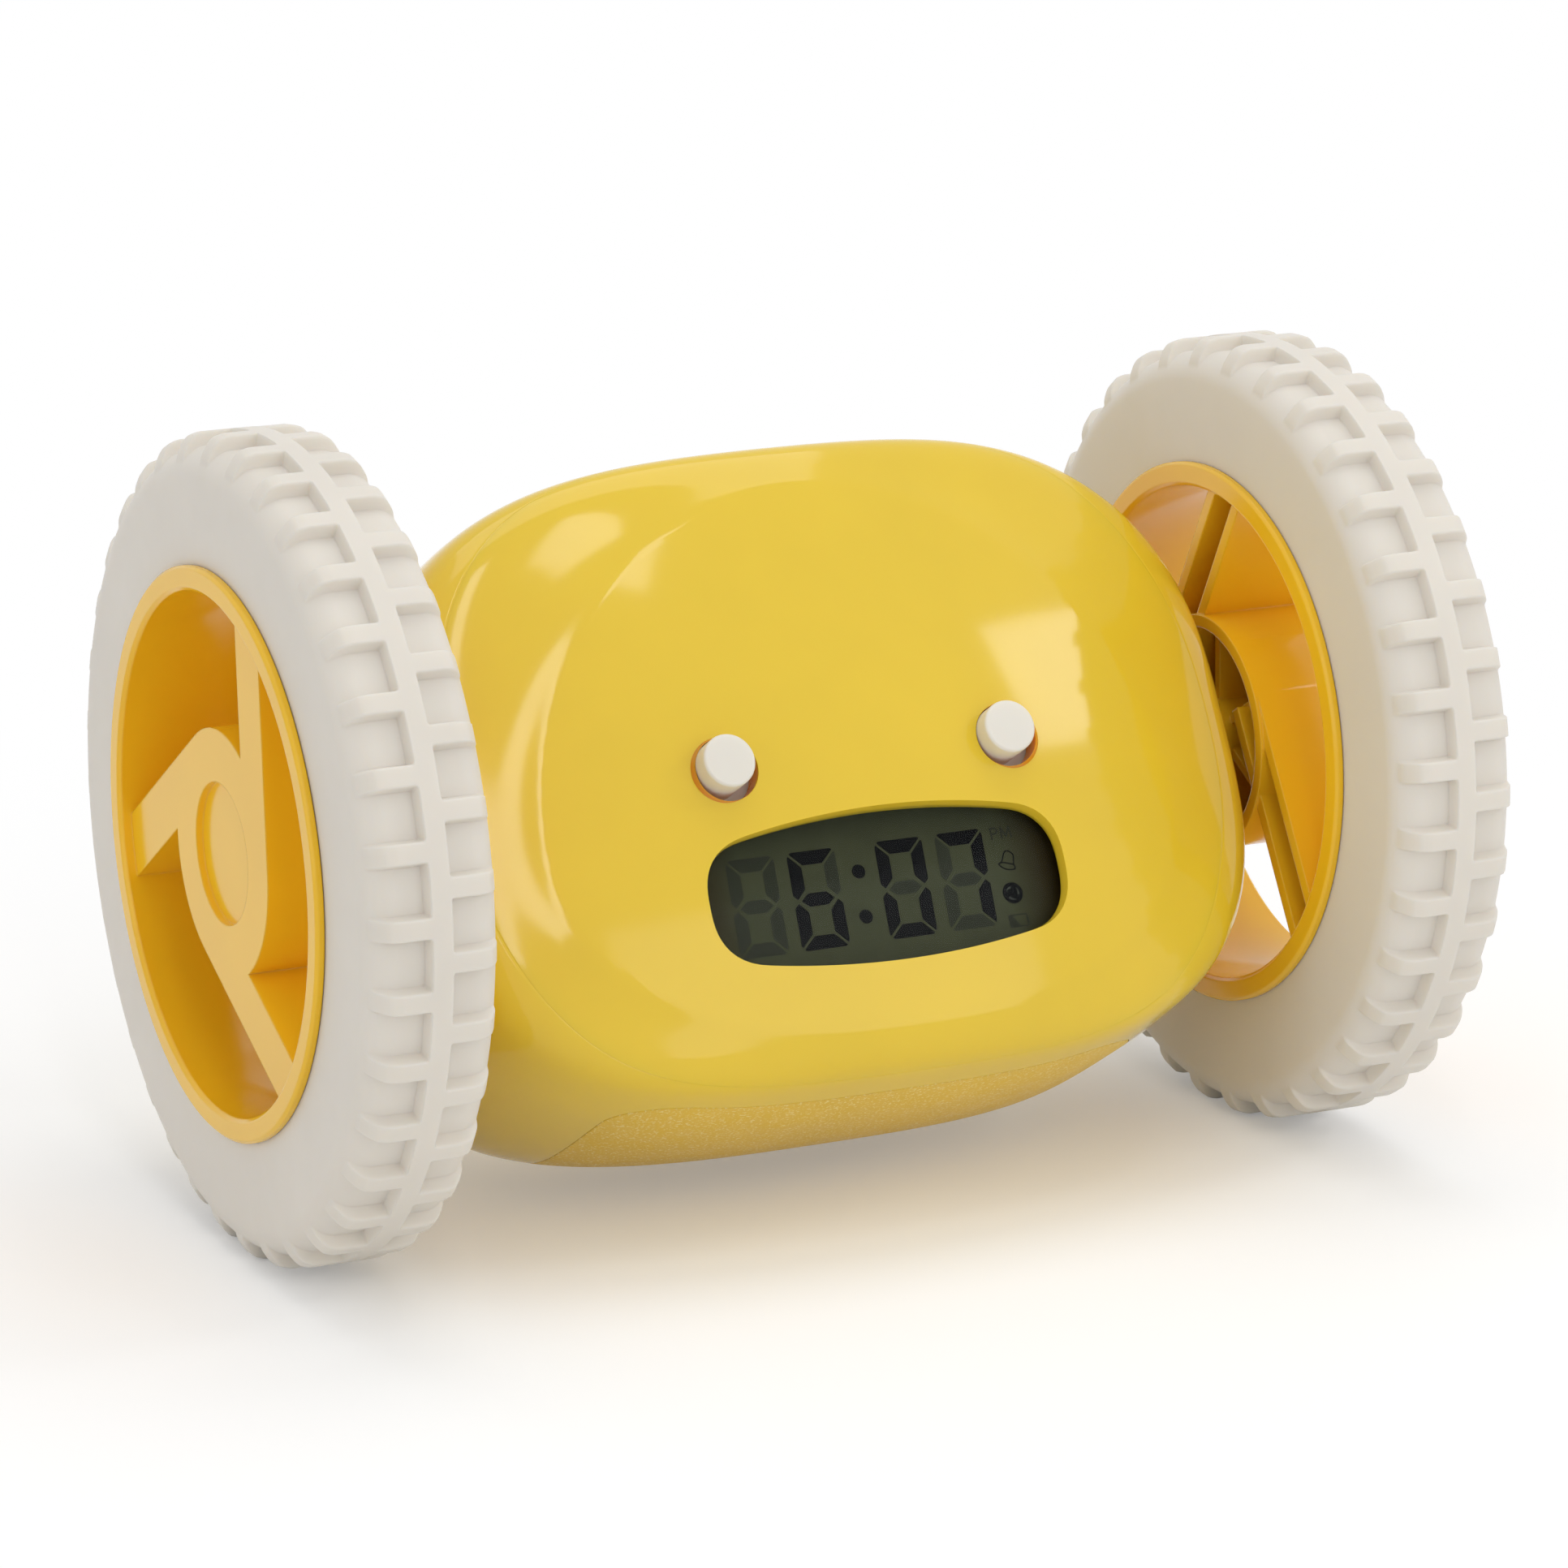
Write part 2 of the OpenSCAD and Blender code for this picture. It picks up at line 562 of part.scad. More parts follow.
// outline of a spur gear with z teeth, tip and root radius
function gear_line(z, tip, root) =
  let (rp = gear_m*z/2, rb = rp*cos(20),
       h0 = 90/z + inv(rp/rb) - backlash/2/rp*180/PI,
       rs = [root, max(root, rb), rp, (rp + tip)/2, tip],
       half = [for (r = rs) [r, h0 - inv(max(r, rb)/rb)]])
  [for (i = [0:z - 1], k = [0:2*len(rs) - 1])
   let (m = k < len(rs) ? k : 2*len(rs) - 1 - k, s = k < len(rs) ? -1 : 1,
        a = i*360/z + s*half[m][1])
   half[m][0]*[cos(a), sin(a)]];

module big_gear() linear_extrude(gear_w)
  polygon(gear_line(big_teeth, gear_m*big_teeth/2 + 0.4, gear_m*big_teeth/2 - 0.65));
module small_gear(w) linear_extrude(w)
  polygon(gear_line(small_teeth, gear_m*small_teeth/2 + 0.48, gear_m*small_teeth/2 - 0.62));

// turn of a gear with zb teeth that meshes with one of za teeth turned by pa, in direction g
function meshed(pa, za, g, zb) = g + 180 - (0.5 - (g - pa)*za/360)*360/zb;
turn_2 = meshed(0, big_teeth, -30, small_teeth);
turn_1 = meshed(turn_2, big_teeth, 90, small_teeth);
turn_m = meshed(turn_1, big_teeth, 150, small_teeth);

module idler(s, at, layer, turn) color(white) in_body() on_side(s) along(0) translate(at) difference() {
  rotate(turn) {
    difference() {
      translate([0, 0, layer_x[layer]]) big_gear();
      for (a = [0:60:300]) rotate(a) translate([6.2, 0, layer_x[layer] - 1]) cylinder(r = 1.9, h = 9, $fn = 32);
    }
    translate([0, 0, layer_x[layer] + gear_w - 0.1]) small_gear(gear_w + 0.5);
  }
  rod(0.95 + run_gap, 20, 50);
}

module pinion(s) color(brass) in_body() on_side(s) along(0) translate(motor_at) {
  rotate(turn_m) translate([0, 0, layer_x[0]]) small_gear(gear_w);
  rod(1, 2, layer_x[0] + 0.1);
  rod(4.6, 7, 19);
}

module output_gear(s) color(white) in_body() on_side(s) along(0) difference() {
  translate([0, 0, layer_x[2]]) big_gear();
  rod(axle_r + 0.01, 20, 50);
  for (a = [0:60:300]) rotate(a) translate([6.4, 0, layer_x[2] - 1]) cylinder(r = 1.9, h = 9, $fn = 32);
}

module motor(s) color(steel) in_body() on_side(s) along(0) translate(motor_at) difference() {
  union() {
    translate([0, 0, 4.2]) linear_extrude(22.4) motor_outline(0);
    translate([0, 0, 1.6]) linear_extrude(3) intersection() {
      circle(9, $fn = 64);
      square([13.8, 40], center = true);
    }
    rod(3, 26, base_x + 1.2);
  }
  translate([0, 0, 4.8]) linear_extrude(20.8) motor_outline(-0.8);
  rod(1 + run_gap, 0, 40);
}

module pins(s) color(steel) in_body() on_side(s) along(0)
  for (p = [idler_1_at, idler_2_at]) translate(p) rod(0.95, base_x + 0.35, cover_x + 1.2);

module case_outline(g) {
  for (p = [[0, 0], idler_1_at, idler_2_at]) translate(p) circle(case_r + g, $fn = 96);
  translate(motor_at) circle(3.9 + g, $fn = 48);
  translate(0.5*motor_at) square([2*(3.9 + g), mesh_r], center = true);
}

module gearbox_base(s) color([0.75, 0.75, 0.73]) in_body() on_side(s) along(0) difference() {
  union() {
    translate([0, 0, base_x]) linear_extrude(base_t) union() {
      case_outline(case_wall);
      translate(motor_at) circle(9.6, $fn = 96);
    }
    translate([0, 0, base_x]) linear_extrude(cover_x - 0.15 - base_x) difference() {
      union() {
        case_outline(case_wall);
        for (p = ear_at) {
          translate(p) circle(2.3, $fn = 32);
          translate(0.9*p) circle(2.3, $fn = 32);
        }
      }
      case_outline(0);
    }
    for (p = peg_at) translate(p) rod(1.2, web_x + 0.1, base_x + 0.2);
  }
  rod(axle_r + run_gap, base_x + 0.3, 60);
  for (p = [idler_1_at, idler_2_at]) translate(p) rod(0.96, base_x + 0.3, 60);
  translate(motor_at) rod(3 + fit, 20, 60);
  for (p = ear_at) translate(p) rod(0.95, base_x + 4, 60);
}

module gearbox_cover(s) color([0.75, 0.75, 0.73]) in_body() on_side(s) along(0) difference() {
  translate([0, 0, cover_x]) linear_extrude(cover_t) union() {
    case_outline(case_wall);
    for (p = ear_at) {
      translate(p) circle(2.3, $fn = 32);
      translate(0.9*p) circle(2.3, $fn = 32);
    }
  }
  rod(3 + 0.05, 20, 60);
  for (p = [idler_1_at, idler_2_at]) translate(p) rod(0.96, 20, cover_x + 1.25);
  for (p = ear_at) translate(p) rod(1.1, 20, 60);
}

module gearbox_screws() color(steel) in_body() for (s = [-1, 1]) on_side(s) along(0)
  for (p = ear_at) translate([p[0], p[1], cover_x + cover_t + 1.05]) mirror([0, 0, 1]) screw(0.9, 1.8, 1, 7.5);

module axle(s) color(steel) translate([0, 0, axle_h]) on_side(s) along(0) difference() {
  rod(axle_r, base_x + 0.4, 60);
  block(1, 5, -5, 5, lip_x - rim_w + 0.1, 70);
}

module bearing(s) color(brass) in_body() on_side(s) along(0) {
  tube(3, axle_r + run_gap, cover_x + 0.05, 49.4);
  tube(4.6, axle_r + run_gap + 1, cover_x + cover_t + 0.1, cover_x + cover_t + 0.9);
}

// ---- wheels ----
module wheel_place(s) translate([0, 0, axle_h]) rotate([0, 0, s < 0 ? 180 : 0]) children();

module spoke(g) intersection() {
  translate([g, -hub_r + g]) square([40, spoke_w - 2*g]);
  circle(rim_d/2 - 2 + g, $fn = 128);
}

module rim(s) color(orange) wheel_place(s) along(0) rotate(s < 0 ? left_turn : right_turn) difference() {
  union() {
    rotate_extrude($fn = 128) polygon([
      [rim_d/2 - 2.6, lip_x - rim_w + 0.4], [rim_d/2 - 2.2, lip_x - rim_w],
      [rim_d/2 - 0.3, lip_x - rim_w], [rim_d/2, lip_x - rim_w + 0.3], [rim_d/2, lip_x - rim_w + lip_t],
      [seat_r, lip_x - rim_w + lip_t], [seat_r, lip_x - lip_t], [rim_d/2, lip_x - lip_t],
      [rim_d/2, lip_x - 0.3], [rim_d/2 - 0.3, lip_x], [rim_d/2 - 2.2, lip_x],
      [rim_d/2 - 2.6, lip_x - 0.4]]);
    for (a = [0:120:240]) rotate(a) {
      translate([0, 0, plate_x - 1.6]) linear_extrude(1.6) spoke(0);
      translate([0, 0, lip_x - rim_w + 0.9]) linear_extrude(rim_w - 2.4) difference() {
        spoke(0);
        translate([-1, -hub_r + 1.4]) square([60, spoke_w - 2.8]);
      }
    }
    rod(hub_r, plate_x - 1.6, plate_x);
    tube(hub_r, hub_r - 1.4, lip_x - rim_w + 0.5, plate_x - 1);
    rod(3.6, lip_x - rim_w + 0.5, plate_x - 1);
    translate([0, 0, lip_x - rim_w + 2.4]) linear_extrude(rim_w - 5) for (a = [0:60:300]) rotate(a + 30)
      translate([2.5, -0.5]) square([hub_r - 3.2, 1]);
  }
  rod(7.5, plate_x - 0.8, plate_x + 3);
  difference() {
    rod(axle_r + 0.01, 40, 60.3);
    rotate(s < 0 ? -left_turn : -right_turn) block(s < 0 ? -5 : 1.01, s < 0 ? -1.01 : 5, -5, 5, 40, 70);
  }
}

module tyre(s) color(white) wheel_place(s) along(mid_x) rotate(s < 0 ? left_turn : right_turn) {
  rotate_extrude($fn = 180) polygon(concat(
    [[seat_r + 0.05, -tyre_hw + 0.1], [31.5, -tyre_hw + 0.08], [35, -tyre_hw]],
    [for (a = [0:10:90]) [tread_r - 3.1 + 3.1*sin(a), -tyre_hw + 3.1 - 3.1*cos(a)]],
    [[tread_r, -1.25], [tyre_d/2 - 0.2, -1.25], [tyre_d/2, -1.05], [tyre_d/2, 1.05],
     [tyre_d/2 - 0.2, 1.25], [tread_r, 1.25]],
    [for (a = [90:-10:0]) [tread_r - 3.1 + 3.1*sin(a), tyre_hw - 3.1 + 3.1*cos(a)]],
    [[35, tyre_hw], [31.5, tyre_hw - 0.08], [seat_r + 0.05, tyre_hw - 0.1]]));
  for (k = [0, 1]) mirror([0, 0, k]) intersection() {
    rotate_extrude($fn = 180) polygon([[tread_r - 2, 1], [tyre_d/2, 1], [tyre_d/2, tyre_hw - 2.7],
      [tyre_d/2 - 0.35, tyre_hw - 1.9], [tyre_d/2 - 1.4, tyre_hw - 1.05], [tyre_d/2 - 2.9, tyre_hw - 0.45],
      [tread_r - 3, tyre_hw - 0.6]]);
    linear_extrude(tyre_hw) polygon([for (i = [0:lugs - 1], p = [[-1.25, tread_r - 4.2], [-1.15, 50],
      [1.15, 50], [1.25, tread_r - 4.2]])
      let (a = (i + k/2)*360/lugs) [p[1]*cos(a) - p[0]*sin(a), p[1]*sin(a) + p[0]*cos(a)]]);
  }
}

module left_motor() motor(-1);
module left_pinion() pinion(-1);
module left_idler_1() idler(-1, idler_1_at, 0, turn_1);
module left_idler_2() idler(-1, idler_2_at, 1, turn_2);
module left_idler_pins() pins(-1);
module left_gearbox_base() gearbox_base(-1);
module left_gearbox_cover() gearbox_cover(-1);
module left_output_gear() output_gear(-1);
module left_axle() axle(-1);
module left_bearing() bearing(-1);
module left_rim() rim(-1);
module left_tyre() tyre(-1);
module right_motor() motor(1);
module right_pinion() pinion(1);
module right_idler_1() idler(1, idler_1_at, 0, turn_1);
module right_idler_2() idler(1, idler_2_at, 1, turn_2);
module right_idler_pins() pins(1);
module right_gearbox_base() gearbox_base(1);
module right_gearbox_cover() gearbox_cover(1);
module right_output_gear() output_gear(1);
module right_axle() axle(1);
module right_bearing() bearing(1);
module right_rim() rim(1);
module right_tyre() tyre(1);

front_shell();
rear_shell();
battery_door();
door_screw();
shell_screws();
display_window();
lcd_glass();
lcd_frame();
zebra_strips();
main_board();
board_screws();
eye_switches();
left_eye_button();
right_eye_button();
left_eye_stem();
right_eye_stem();
hour_button();
minute_button();
alarm_button();
mode_button();
hour_stem();
minute_stem();
alarm_stem();
mode_stem();
rear_board();
rear_switches();
speaker();
battery_box();
battery_contacts();
battery_1();
battery_2();
battery_3();
battery_4();
left_motor();
left_pinion();
left_idler_1();
left_idler_2();
left_idler_pins();
left_gearbox_base();
left_gearbox_cover();
left_output_gear();
left_axle();
left_bearing();
left_rim();
left_tyre();
right_motor();
right_pinion();
right_idler_1();
right_idler_2();
right_idler_pins();
right_gearbox_base();
right_gearbox_cover();
right_output_gear();
right_axle();
right_bearing();
right_rim();
right_tyre();
gearbox_screws();
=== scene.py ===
import bpy
import bmesh
import json
import math
import numpy as np
from mathutils import Matrix, Vector


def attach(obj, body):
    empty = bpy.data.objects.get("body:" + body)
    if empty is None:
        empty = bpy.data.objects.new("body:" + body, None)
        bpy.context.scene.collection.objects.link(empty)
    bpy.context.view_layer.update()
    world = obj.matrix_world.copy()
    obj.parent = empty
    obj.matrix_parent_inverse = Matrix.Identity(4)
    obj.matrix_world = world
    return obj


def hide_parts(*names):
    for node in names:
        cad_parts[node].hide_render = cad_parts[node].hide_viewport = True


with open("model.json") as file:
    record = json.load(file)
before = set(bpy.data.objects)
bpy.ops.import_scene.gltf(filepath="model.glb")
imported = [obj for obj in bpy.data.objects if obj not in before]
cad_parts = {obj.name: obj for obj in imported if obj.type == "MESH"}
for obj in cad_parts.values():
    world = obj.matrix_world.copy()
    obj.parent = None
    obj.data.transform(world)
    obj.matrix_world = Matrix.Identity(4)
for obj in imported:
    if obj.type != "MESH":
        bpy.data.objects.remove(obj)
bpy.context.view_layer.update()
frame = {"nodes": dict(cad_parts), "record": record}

# ---------------------------------------------------------------- dimensions, mm
MM = 0.001
AXLE_H = 43.5
LEAN = math.radians(31.43)
cl, sl = math.cos(LEAN), math.sin(LEAN)
SEAM_N = 13.5
WALL = 2.2
# the body: a rounded box narrowed to an egg, its shoulders, the drum of the belly and the face dome
HALF_W, HALF_H, HALF_D, HALF_D_REAR = 48.88, 36.21, 40.05, 39.6
BOX_POWER, END_POWER, CLEAR_R = 3.643, 2.882, 40.32
SHOULDER = (66.47, 23.58, 65.74)
TAPER = 0.032
FACE_N, FACE_R, BLEND = 20.45, 185.5, 25.6
MID_N, MID_U = -2.92, -1.56
# the crease round the face: half width, middle, then height and power above and below the middle
RING_HW, RING_U, RING_UP, RING_DOWN = 35.8, -9.0, (36.8, 1.9), (22.3, 2.3)
RING_TURN, RING_FADE, RING_SOFT, RING_GAIN = 0.22, 16.0, 1.5, 1.3
RING_START, RING_RISE = 1, 11
DOOR_HW, DOOR_FRONT, DOOR_END, DOOR_SCREW = 30.8, 9.0, 172.0, 168.0
FIT = 0.08
EYE_X, EYE_U, EYE_HOLE_R = 16.3, -2.5, 3.5
EYE_SHIFT = (0.5, -0.28)
CAP_R, CAP_ROUND, FLANGE_R = 2.875, 0.34, 4.25
KEYS = ((-18.5, 2), (-18.5, 11), (18.5, 2), (18.5, 11))
POSTS = ((20, 26.2), (34.3, -23.3))
WELL_R = 2.2
SPEAKER_U, HOLE_STEP = 9.0, 3.6
WIN_HW, WIN_TOP, WIN_BOTTOM, WIN_ROUND, WIN_BOW = 20.5, 8.9, 25.0, 5.5, (90, 87)
GLASS_N = 14.8

WORLD_LIGHT, FLOOR_LIFT = 0.65, 0.2


def to_world(p):
    """Body frame points (across, forward, up) in mm to the shared frame in metres."""
    p = np.asarray(p, float).reshape(-1, 3)
    x, n, u = p[:, 0], p[:, 1], p[:, 2]
    return np.stack([x, -n * cl + u * sl, n * sl + u * cl + AXLE_H], 1) * MM


def smooth(t):
    t = np.clip(t, 0, 1)
    return t * t * (3 - 2 * t)


def ring_drop(x, n, u):
    """How far the skin falls away just outside the crease that frames the face."""
    v = u - RING_U
    high, power = np.where(v > 0, RING_UP[0], RING_DOWN[0]), np.where(v > 0, RING_UP[1], RING_DOWN[1])
    ring = ((x / RING_HW) ** power + (np.abs(v) / high) ** power) ** (1 / power)
    past = np.clip(np.hypot(x, v) * (1 - 1 / np.maximum(ring, 1e-6)), 0, RING_FADE)
    eased = past * past / (past + RING_SOFT)
    return RING_TURN * eased * (1 - past / RING_FADE) ** 2 * smooth((n - RING_START) / RING_RISE)


def skin(d):
    """Distance from the middle of the body to its outside in directions d."""
    d = np.asarray(d, float)
    d = d / np.linalg.norm(d, axis=-1, keepdims=True)
    x, n, u = np.abs(d[..., 0]), d[..., 1], d[..., 2]
    dep = np.where(n > 0, HALF_D, HALF_D_REAR)
    rho = (np.abs(n / dep) ** BOX_POWER + np.abs(u / HALF_H) ** BOX_POWER) ** (1 / BOX_POWER)
    egg = ((x / HALF_W) ** END_POWER + rho ** END_POWER) ** (-1 / END_POWER)
    cap = np.sqrt((np.maximum(0, x + TAPER * u) / SHOULDER[0]) ** 2 + (n / SHOULDER[1]) ** 2
                  + (u / SHOULDER[2]) ** 2)
    cap = np.where(n > 0, cap, 0)
    a = np.maximum(n * n + u * u, 1e-9)
    b = MID_N * n + MID_U * u
    c = MID_N ** 2 + MID_U ** 2 - CLEAR_R ** 2
    drum = (-b + np.sqrt(b * b - a * c)) / a
    hull = (egg ** -BLEND + cap ** BLEND + drum ** -BLEND) ** (-1 / BLEND)
    f = FACE_N - MID_N - FACE_R
    dome = f * n + np.sqrt(FACE_R ** 2 - f * f + f * f * n * n)
    r = (hull ** -BLEND + dome ** -BLEND) ** (-1 / BLEND)
    return r - RING_GAIN * ring_drop(r * x, r * n + MID_N, r * u + MID_U)


def ray(al, be):
    return np.stack([np.sin(al) * np.cos(be), np.cos(al), np.sin(al) * np.sin(be)], -1)


def skin_pt(al, be, t):
    d = ray(al, be)
    r = skin(d) - t
    return d * r[..., None] + np.array([0, MID_N, MID_U])


def angle_at(be, t, n0):
    """Polar angle where the skin, t deep, crosses the plane n = n0."""
    lo, hi = np.full_like(be, 0.3), np.full_like(be, 2.0)
    for _ in range(40):
        m = (lo + hi) / 2
        out = (skin(ray(m, be)) - t) * np.cos(m) > n0 - MID_N
        lo, hi = np.where(out, m, lo), np.where(out, hi, m)
    return (lo + hi) / 2


def skin_at(x, a, t):
    """Distance from the axle line to the skin at x across and angle a below straight ahead."""
    x, a = np.broadcast_arrays(np.asarray(x, float), np.asarray(a, float))
    lo, hi = np.full(x.shape, 10.0), np.full(x.shape, 60.0)
    for _ in range(40):
        m = (lo + hi) / 2
        d = np.stack([x, m * np.cos(a) - MID_N, -m * np.sin(a) - MID_U], -1)
        ins = np.linalg.norm(d, axis=-1) < skin(d) - t
        lo, hi = np.where(ins, m, lo), np.where(ins, hi, m)
    return (lo + hi) / 2


def skin_normal(p):
    """Outward normals of the body at body frame points near its outside."""
    q = p - np.array([0, MID_N, MID_U])
    e = 1e-3

    def level(v):
        return np.linalg.norm(v, axis=-1) - skin(v)

    g = np.stack([level(q + e * np.eye(3)[i]) - level(q - e * np.eye(3)[i]) for i in range(3)], -1)
    return g / np.linalg.norm(g, axis=-1, keepdims=True), level(q)


# ---------------------------------------------------------------- mesh helpers
def make(name, pts, faces, world=True):
    me = bpy.data.meshes.new(name)
    v = np.asarray(pts, float).reshape(-1, 3)
    me.from_pydata((to_world(v) if world else v).tolist(), [], [list(map(int, f)) for f in faces])
    me.validate()
    ob = bpy.data.objects.new(name, me)
    bpy.context.scene.collection.objects.link(ob)
    bm = bmesh.new()
    bm.from_mesh(me)
    bmesh.ops.recalc_face_normals(bm, faces=bm.faces)
    bm.to_mesh(me)
    bm.free()
    return ob


def ring_stack(name, rings, closed_poles):
    """Closed mesh from rings of equal length, with a point at each end if closed_poles."""
    k, m = len(rings), len(rings[0])
    pts = np.concatenate(rings)
    j = np.arange(m)
    f = []
    for i in range(k - 1):
        a, b = i * m + j, i * m + (j + 1) % m
        f += list(zip(a, b, b + m, a + m))
    if closed_poles is not None:
        p0, p1 = closed_poles
        pts = np.concatenate([pts, [p0], [p1]])
        f += [(k * m, (q + 1) % m, q) for q in range(m)]
        f += [(k * m + 1, (k - 1) * m + q, (k - 1) * m + (q + 1) % m) for q in range(m)]
    return make(name, pts, f)


def prism(name, loop, place, h0, h1):
    """Prism over a 2D loop; place maps (a, b, height) arrays to body frame points."""
    loop = np.asarray(loop, float)
    k = len(loop)
    lo = place(loop[:, 0], loop[:, 1], np.full(k, float(h0)))
    hi = place(loop[:, 0], loop[:, 1], np.full(k, float(h1)))
    f = [tuple(range(k))[::-1], tuple(range(k, 2 * k))]
    f += [(i, (i + 1) % k, k + (i + 1) % k, k + i) for i in range(k)]
    return make(name, np.concatenate([lo, hi]), f)


def circle(r, n=48, cx=0.0, cy=0.0):
    a = np.arange(n) * 2 * math.pi / n
    return np.stack([cx + r * np.cos(a), cy + r * np.sin(a)], 1)


def ahead(a, b, h):
    return np.stack([a, h, b], -1)


def across(a, b, h):
    """a to the front, b up, height along x."""
    return np.stack([h, a, b], -1)


def join(obs, name):
    bm = bmesh.new()
    for o in obs:
        bm.from_mesh(o.data)
    me = bpy.data.meshes.new(name)
    bm.to_mesh(me)
    bm.free()
    for o in obs:
        bpy.data.objects.remove(o)
    ob = bpy.data.objects.new(name, me)
    bpy.context.scene.collection.objects.link(ob)
    return ob


def boolean(ob, cutter, op="DIFFERENCE"):
    mod = ob.modifiers.new("cut", "BOOLEAN")
    mod.operation = op
    mod.solver = "EXACT"
    mod.object = cutter
    bpy.context.view_layer.update()
    dg = bpy.context.evaluated_depsgraph_get()
    me = bpy.data.meshes.new_from_object(ob.evaluated_get(dg))
    ob.modifiers.remove(mod)
    ob.data = me
    bpy.data.objects.remove(cutter)
    return ob


def shade(ob, angle=35.0, analytic=False):
    """Smooth shading with sharp edges over the angle, and true skin normals where asked."""
    me = ob.data
    bm = bmesh.new()
    bm.from_mesh(me)
    lim = math.radians(angle)
    for f in bm.faces:
        f.smooth = True
    for e in bm.edges:
        e.smooth = not (len(e.link_faces) != 2 or e.calc_face_angle(0) > lim)
    bm.to_mesh(me)
    bm.free()
    if not analytic:
        return ob
    co = np.zeros(len(me.vertices) * 3)
    me.vertices.foreach_get("co", co)
    co = co.reshape(-1, 3) / MM
    y, z = co[:, 1], co[:, 2] - AXLE_H
    body = np.stack([co[:, 0], -y * cl + z * sl, y * sl + z * cl], 1)
    nb, lev = skin_normal(body)
    nw = np.stack([nb[:, 0], -nb[:, 1] * cl + nb[:, 2] * sl, nb[:, 1] * sl + nb[:, 2] * cl], 1)
    vi = np.zeros(len(me.loops), int)
    me.loops.foreach_get("vertex_index", vi)
    ln = np.zeros(len(me.loops) * 3)
    me.corner_normals.foreach_get("vector", ln)
    ln = ln.reshape(-1, 3)
    fn = np.zeros(len(me.polygons) * 3)
    me.polygons.foreach_get("normal", fn)
    fn = fn.reshape(-1, 3)
    tot = np.zeros(len(me.polygons), int)
    me.polygons.foreach_get("loop_total", tot)
    face_of = np.repeat(np.arange(len(tot)), tot)
    use = (np.abs(lev[vi]) < 0.02) & ((fn[face_of] * nw[vi]).sum(1) > 0.9)
    ln[use] = nw[vi][use]
    me.normals_split_custom_set(ln.tolist())
    return ob


# ---------------------------------------------------------------- materials
def new_mat(name):
    m = bpy.data.materials.new(name)
    m.use_nodes = True
    nt = m.node_tree
    nt.nodes.clear()
    out = nt.nodes.new("ShaderNodeOutputMaterial")
    bs = nt.nodes.new("ShaderNodeBsdfPrincipled")
    nt.links.new(bs.outputs["BSDF"], out.inputs["Surface"])
    tc = nt.nodes.new("ShaderNodeTexCoord")
    mp = nt.nodes.new("ShaderNodeMapping")
    mp.inputs["Scale"].default_value = (1000, 1000, 1000)
    nt.links.new(tc.outputs["Object"], mp.inputs["Vector"])
    return m, nt, bs, mp.outputs["Vector"]


def lin(c):
    return tuple(((v / 255) / 12.92 if v <= 10 else (((v / 255) + 0.055) / 1.055) ** 2.4) for v in c)


def noise(nt, vec, scale, detail=3.0):
    n = nt.nodes.new("ShaderNodeTexNoise")
    n.inputs["Scale"].default_value = scale
    n.inputs["Detail"].default_value = detail
    nt.links.new(vec, n.inputs["Vector"])
    return n.outputs["Fac"]


def spread(nt, fac, lo, hi, start=0.3, end=0.7):
    """Map the range from start to end of a factor onto lo to hi."""
    r = nt.nodes.new("ShaderNodeMapRange")
    r.inputs["From Min"].default_value = start
    r.inputs["From Max"].default_value = end
    r.inputs["To Min"].default_value = lo
    r.inputs["To Max"].default_value = hi
    nt.links.new(fac, r.inputs["Value"])
    return r.outputs["Result"]


def feed(nt, socket, value):
    """Link a socket to the input, or set the input to a plain value."""
    if isinstance(value, bpy.types.NodeSocket):
        nt.links.new(value, socket)
    else:
        socket.default_value = value


def mixed(nt, fac, a, b, kind="MIX"):
    """Colour mix whose factor and colours are sockets or plain values."""
    mix = nt.nodes.new("ShaderNodeMix")
    mix.data_type = "RGBA"
    mix.blend_type = kind
    for key, value in (("Factor", fac), ("A", a), ("B", b)):
        feed(nt, mix.inputs[key], value)
    return mix.outputs["Result"]


def mix_shader(nt, fac, a, b):
    node = nt.nodes.new("ShaderNodeMixShader")
    for i, socket in enumerate((fac, a, b)):
        nt.links.new(socket, node.inputs[i])
    return node.outputs[0]


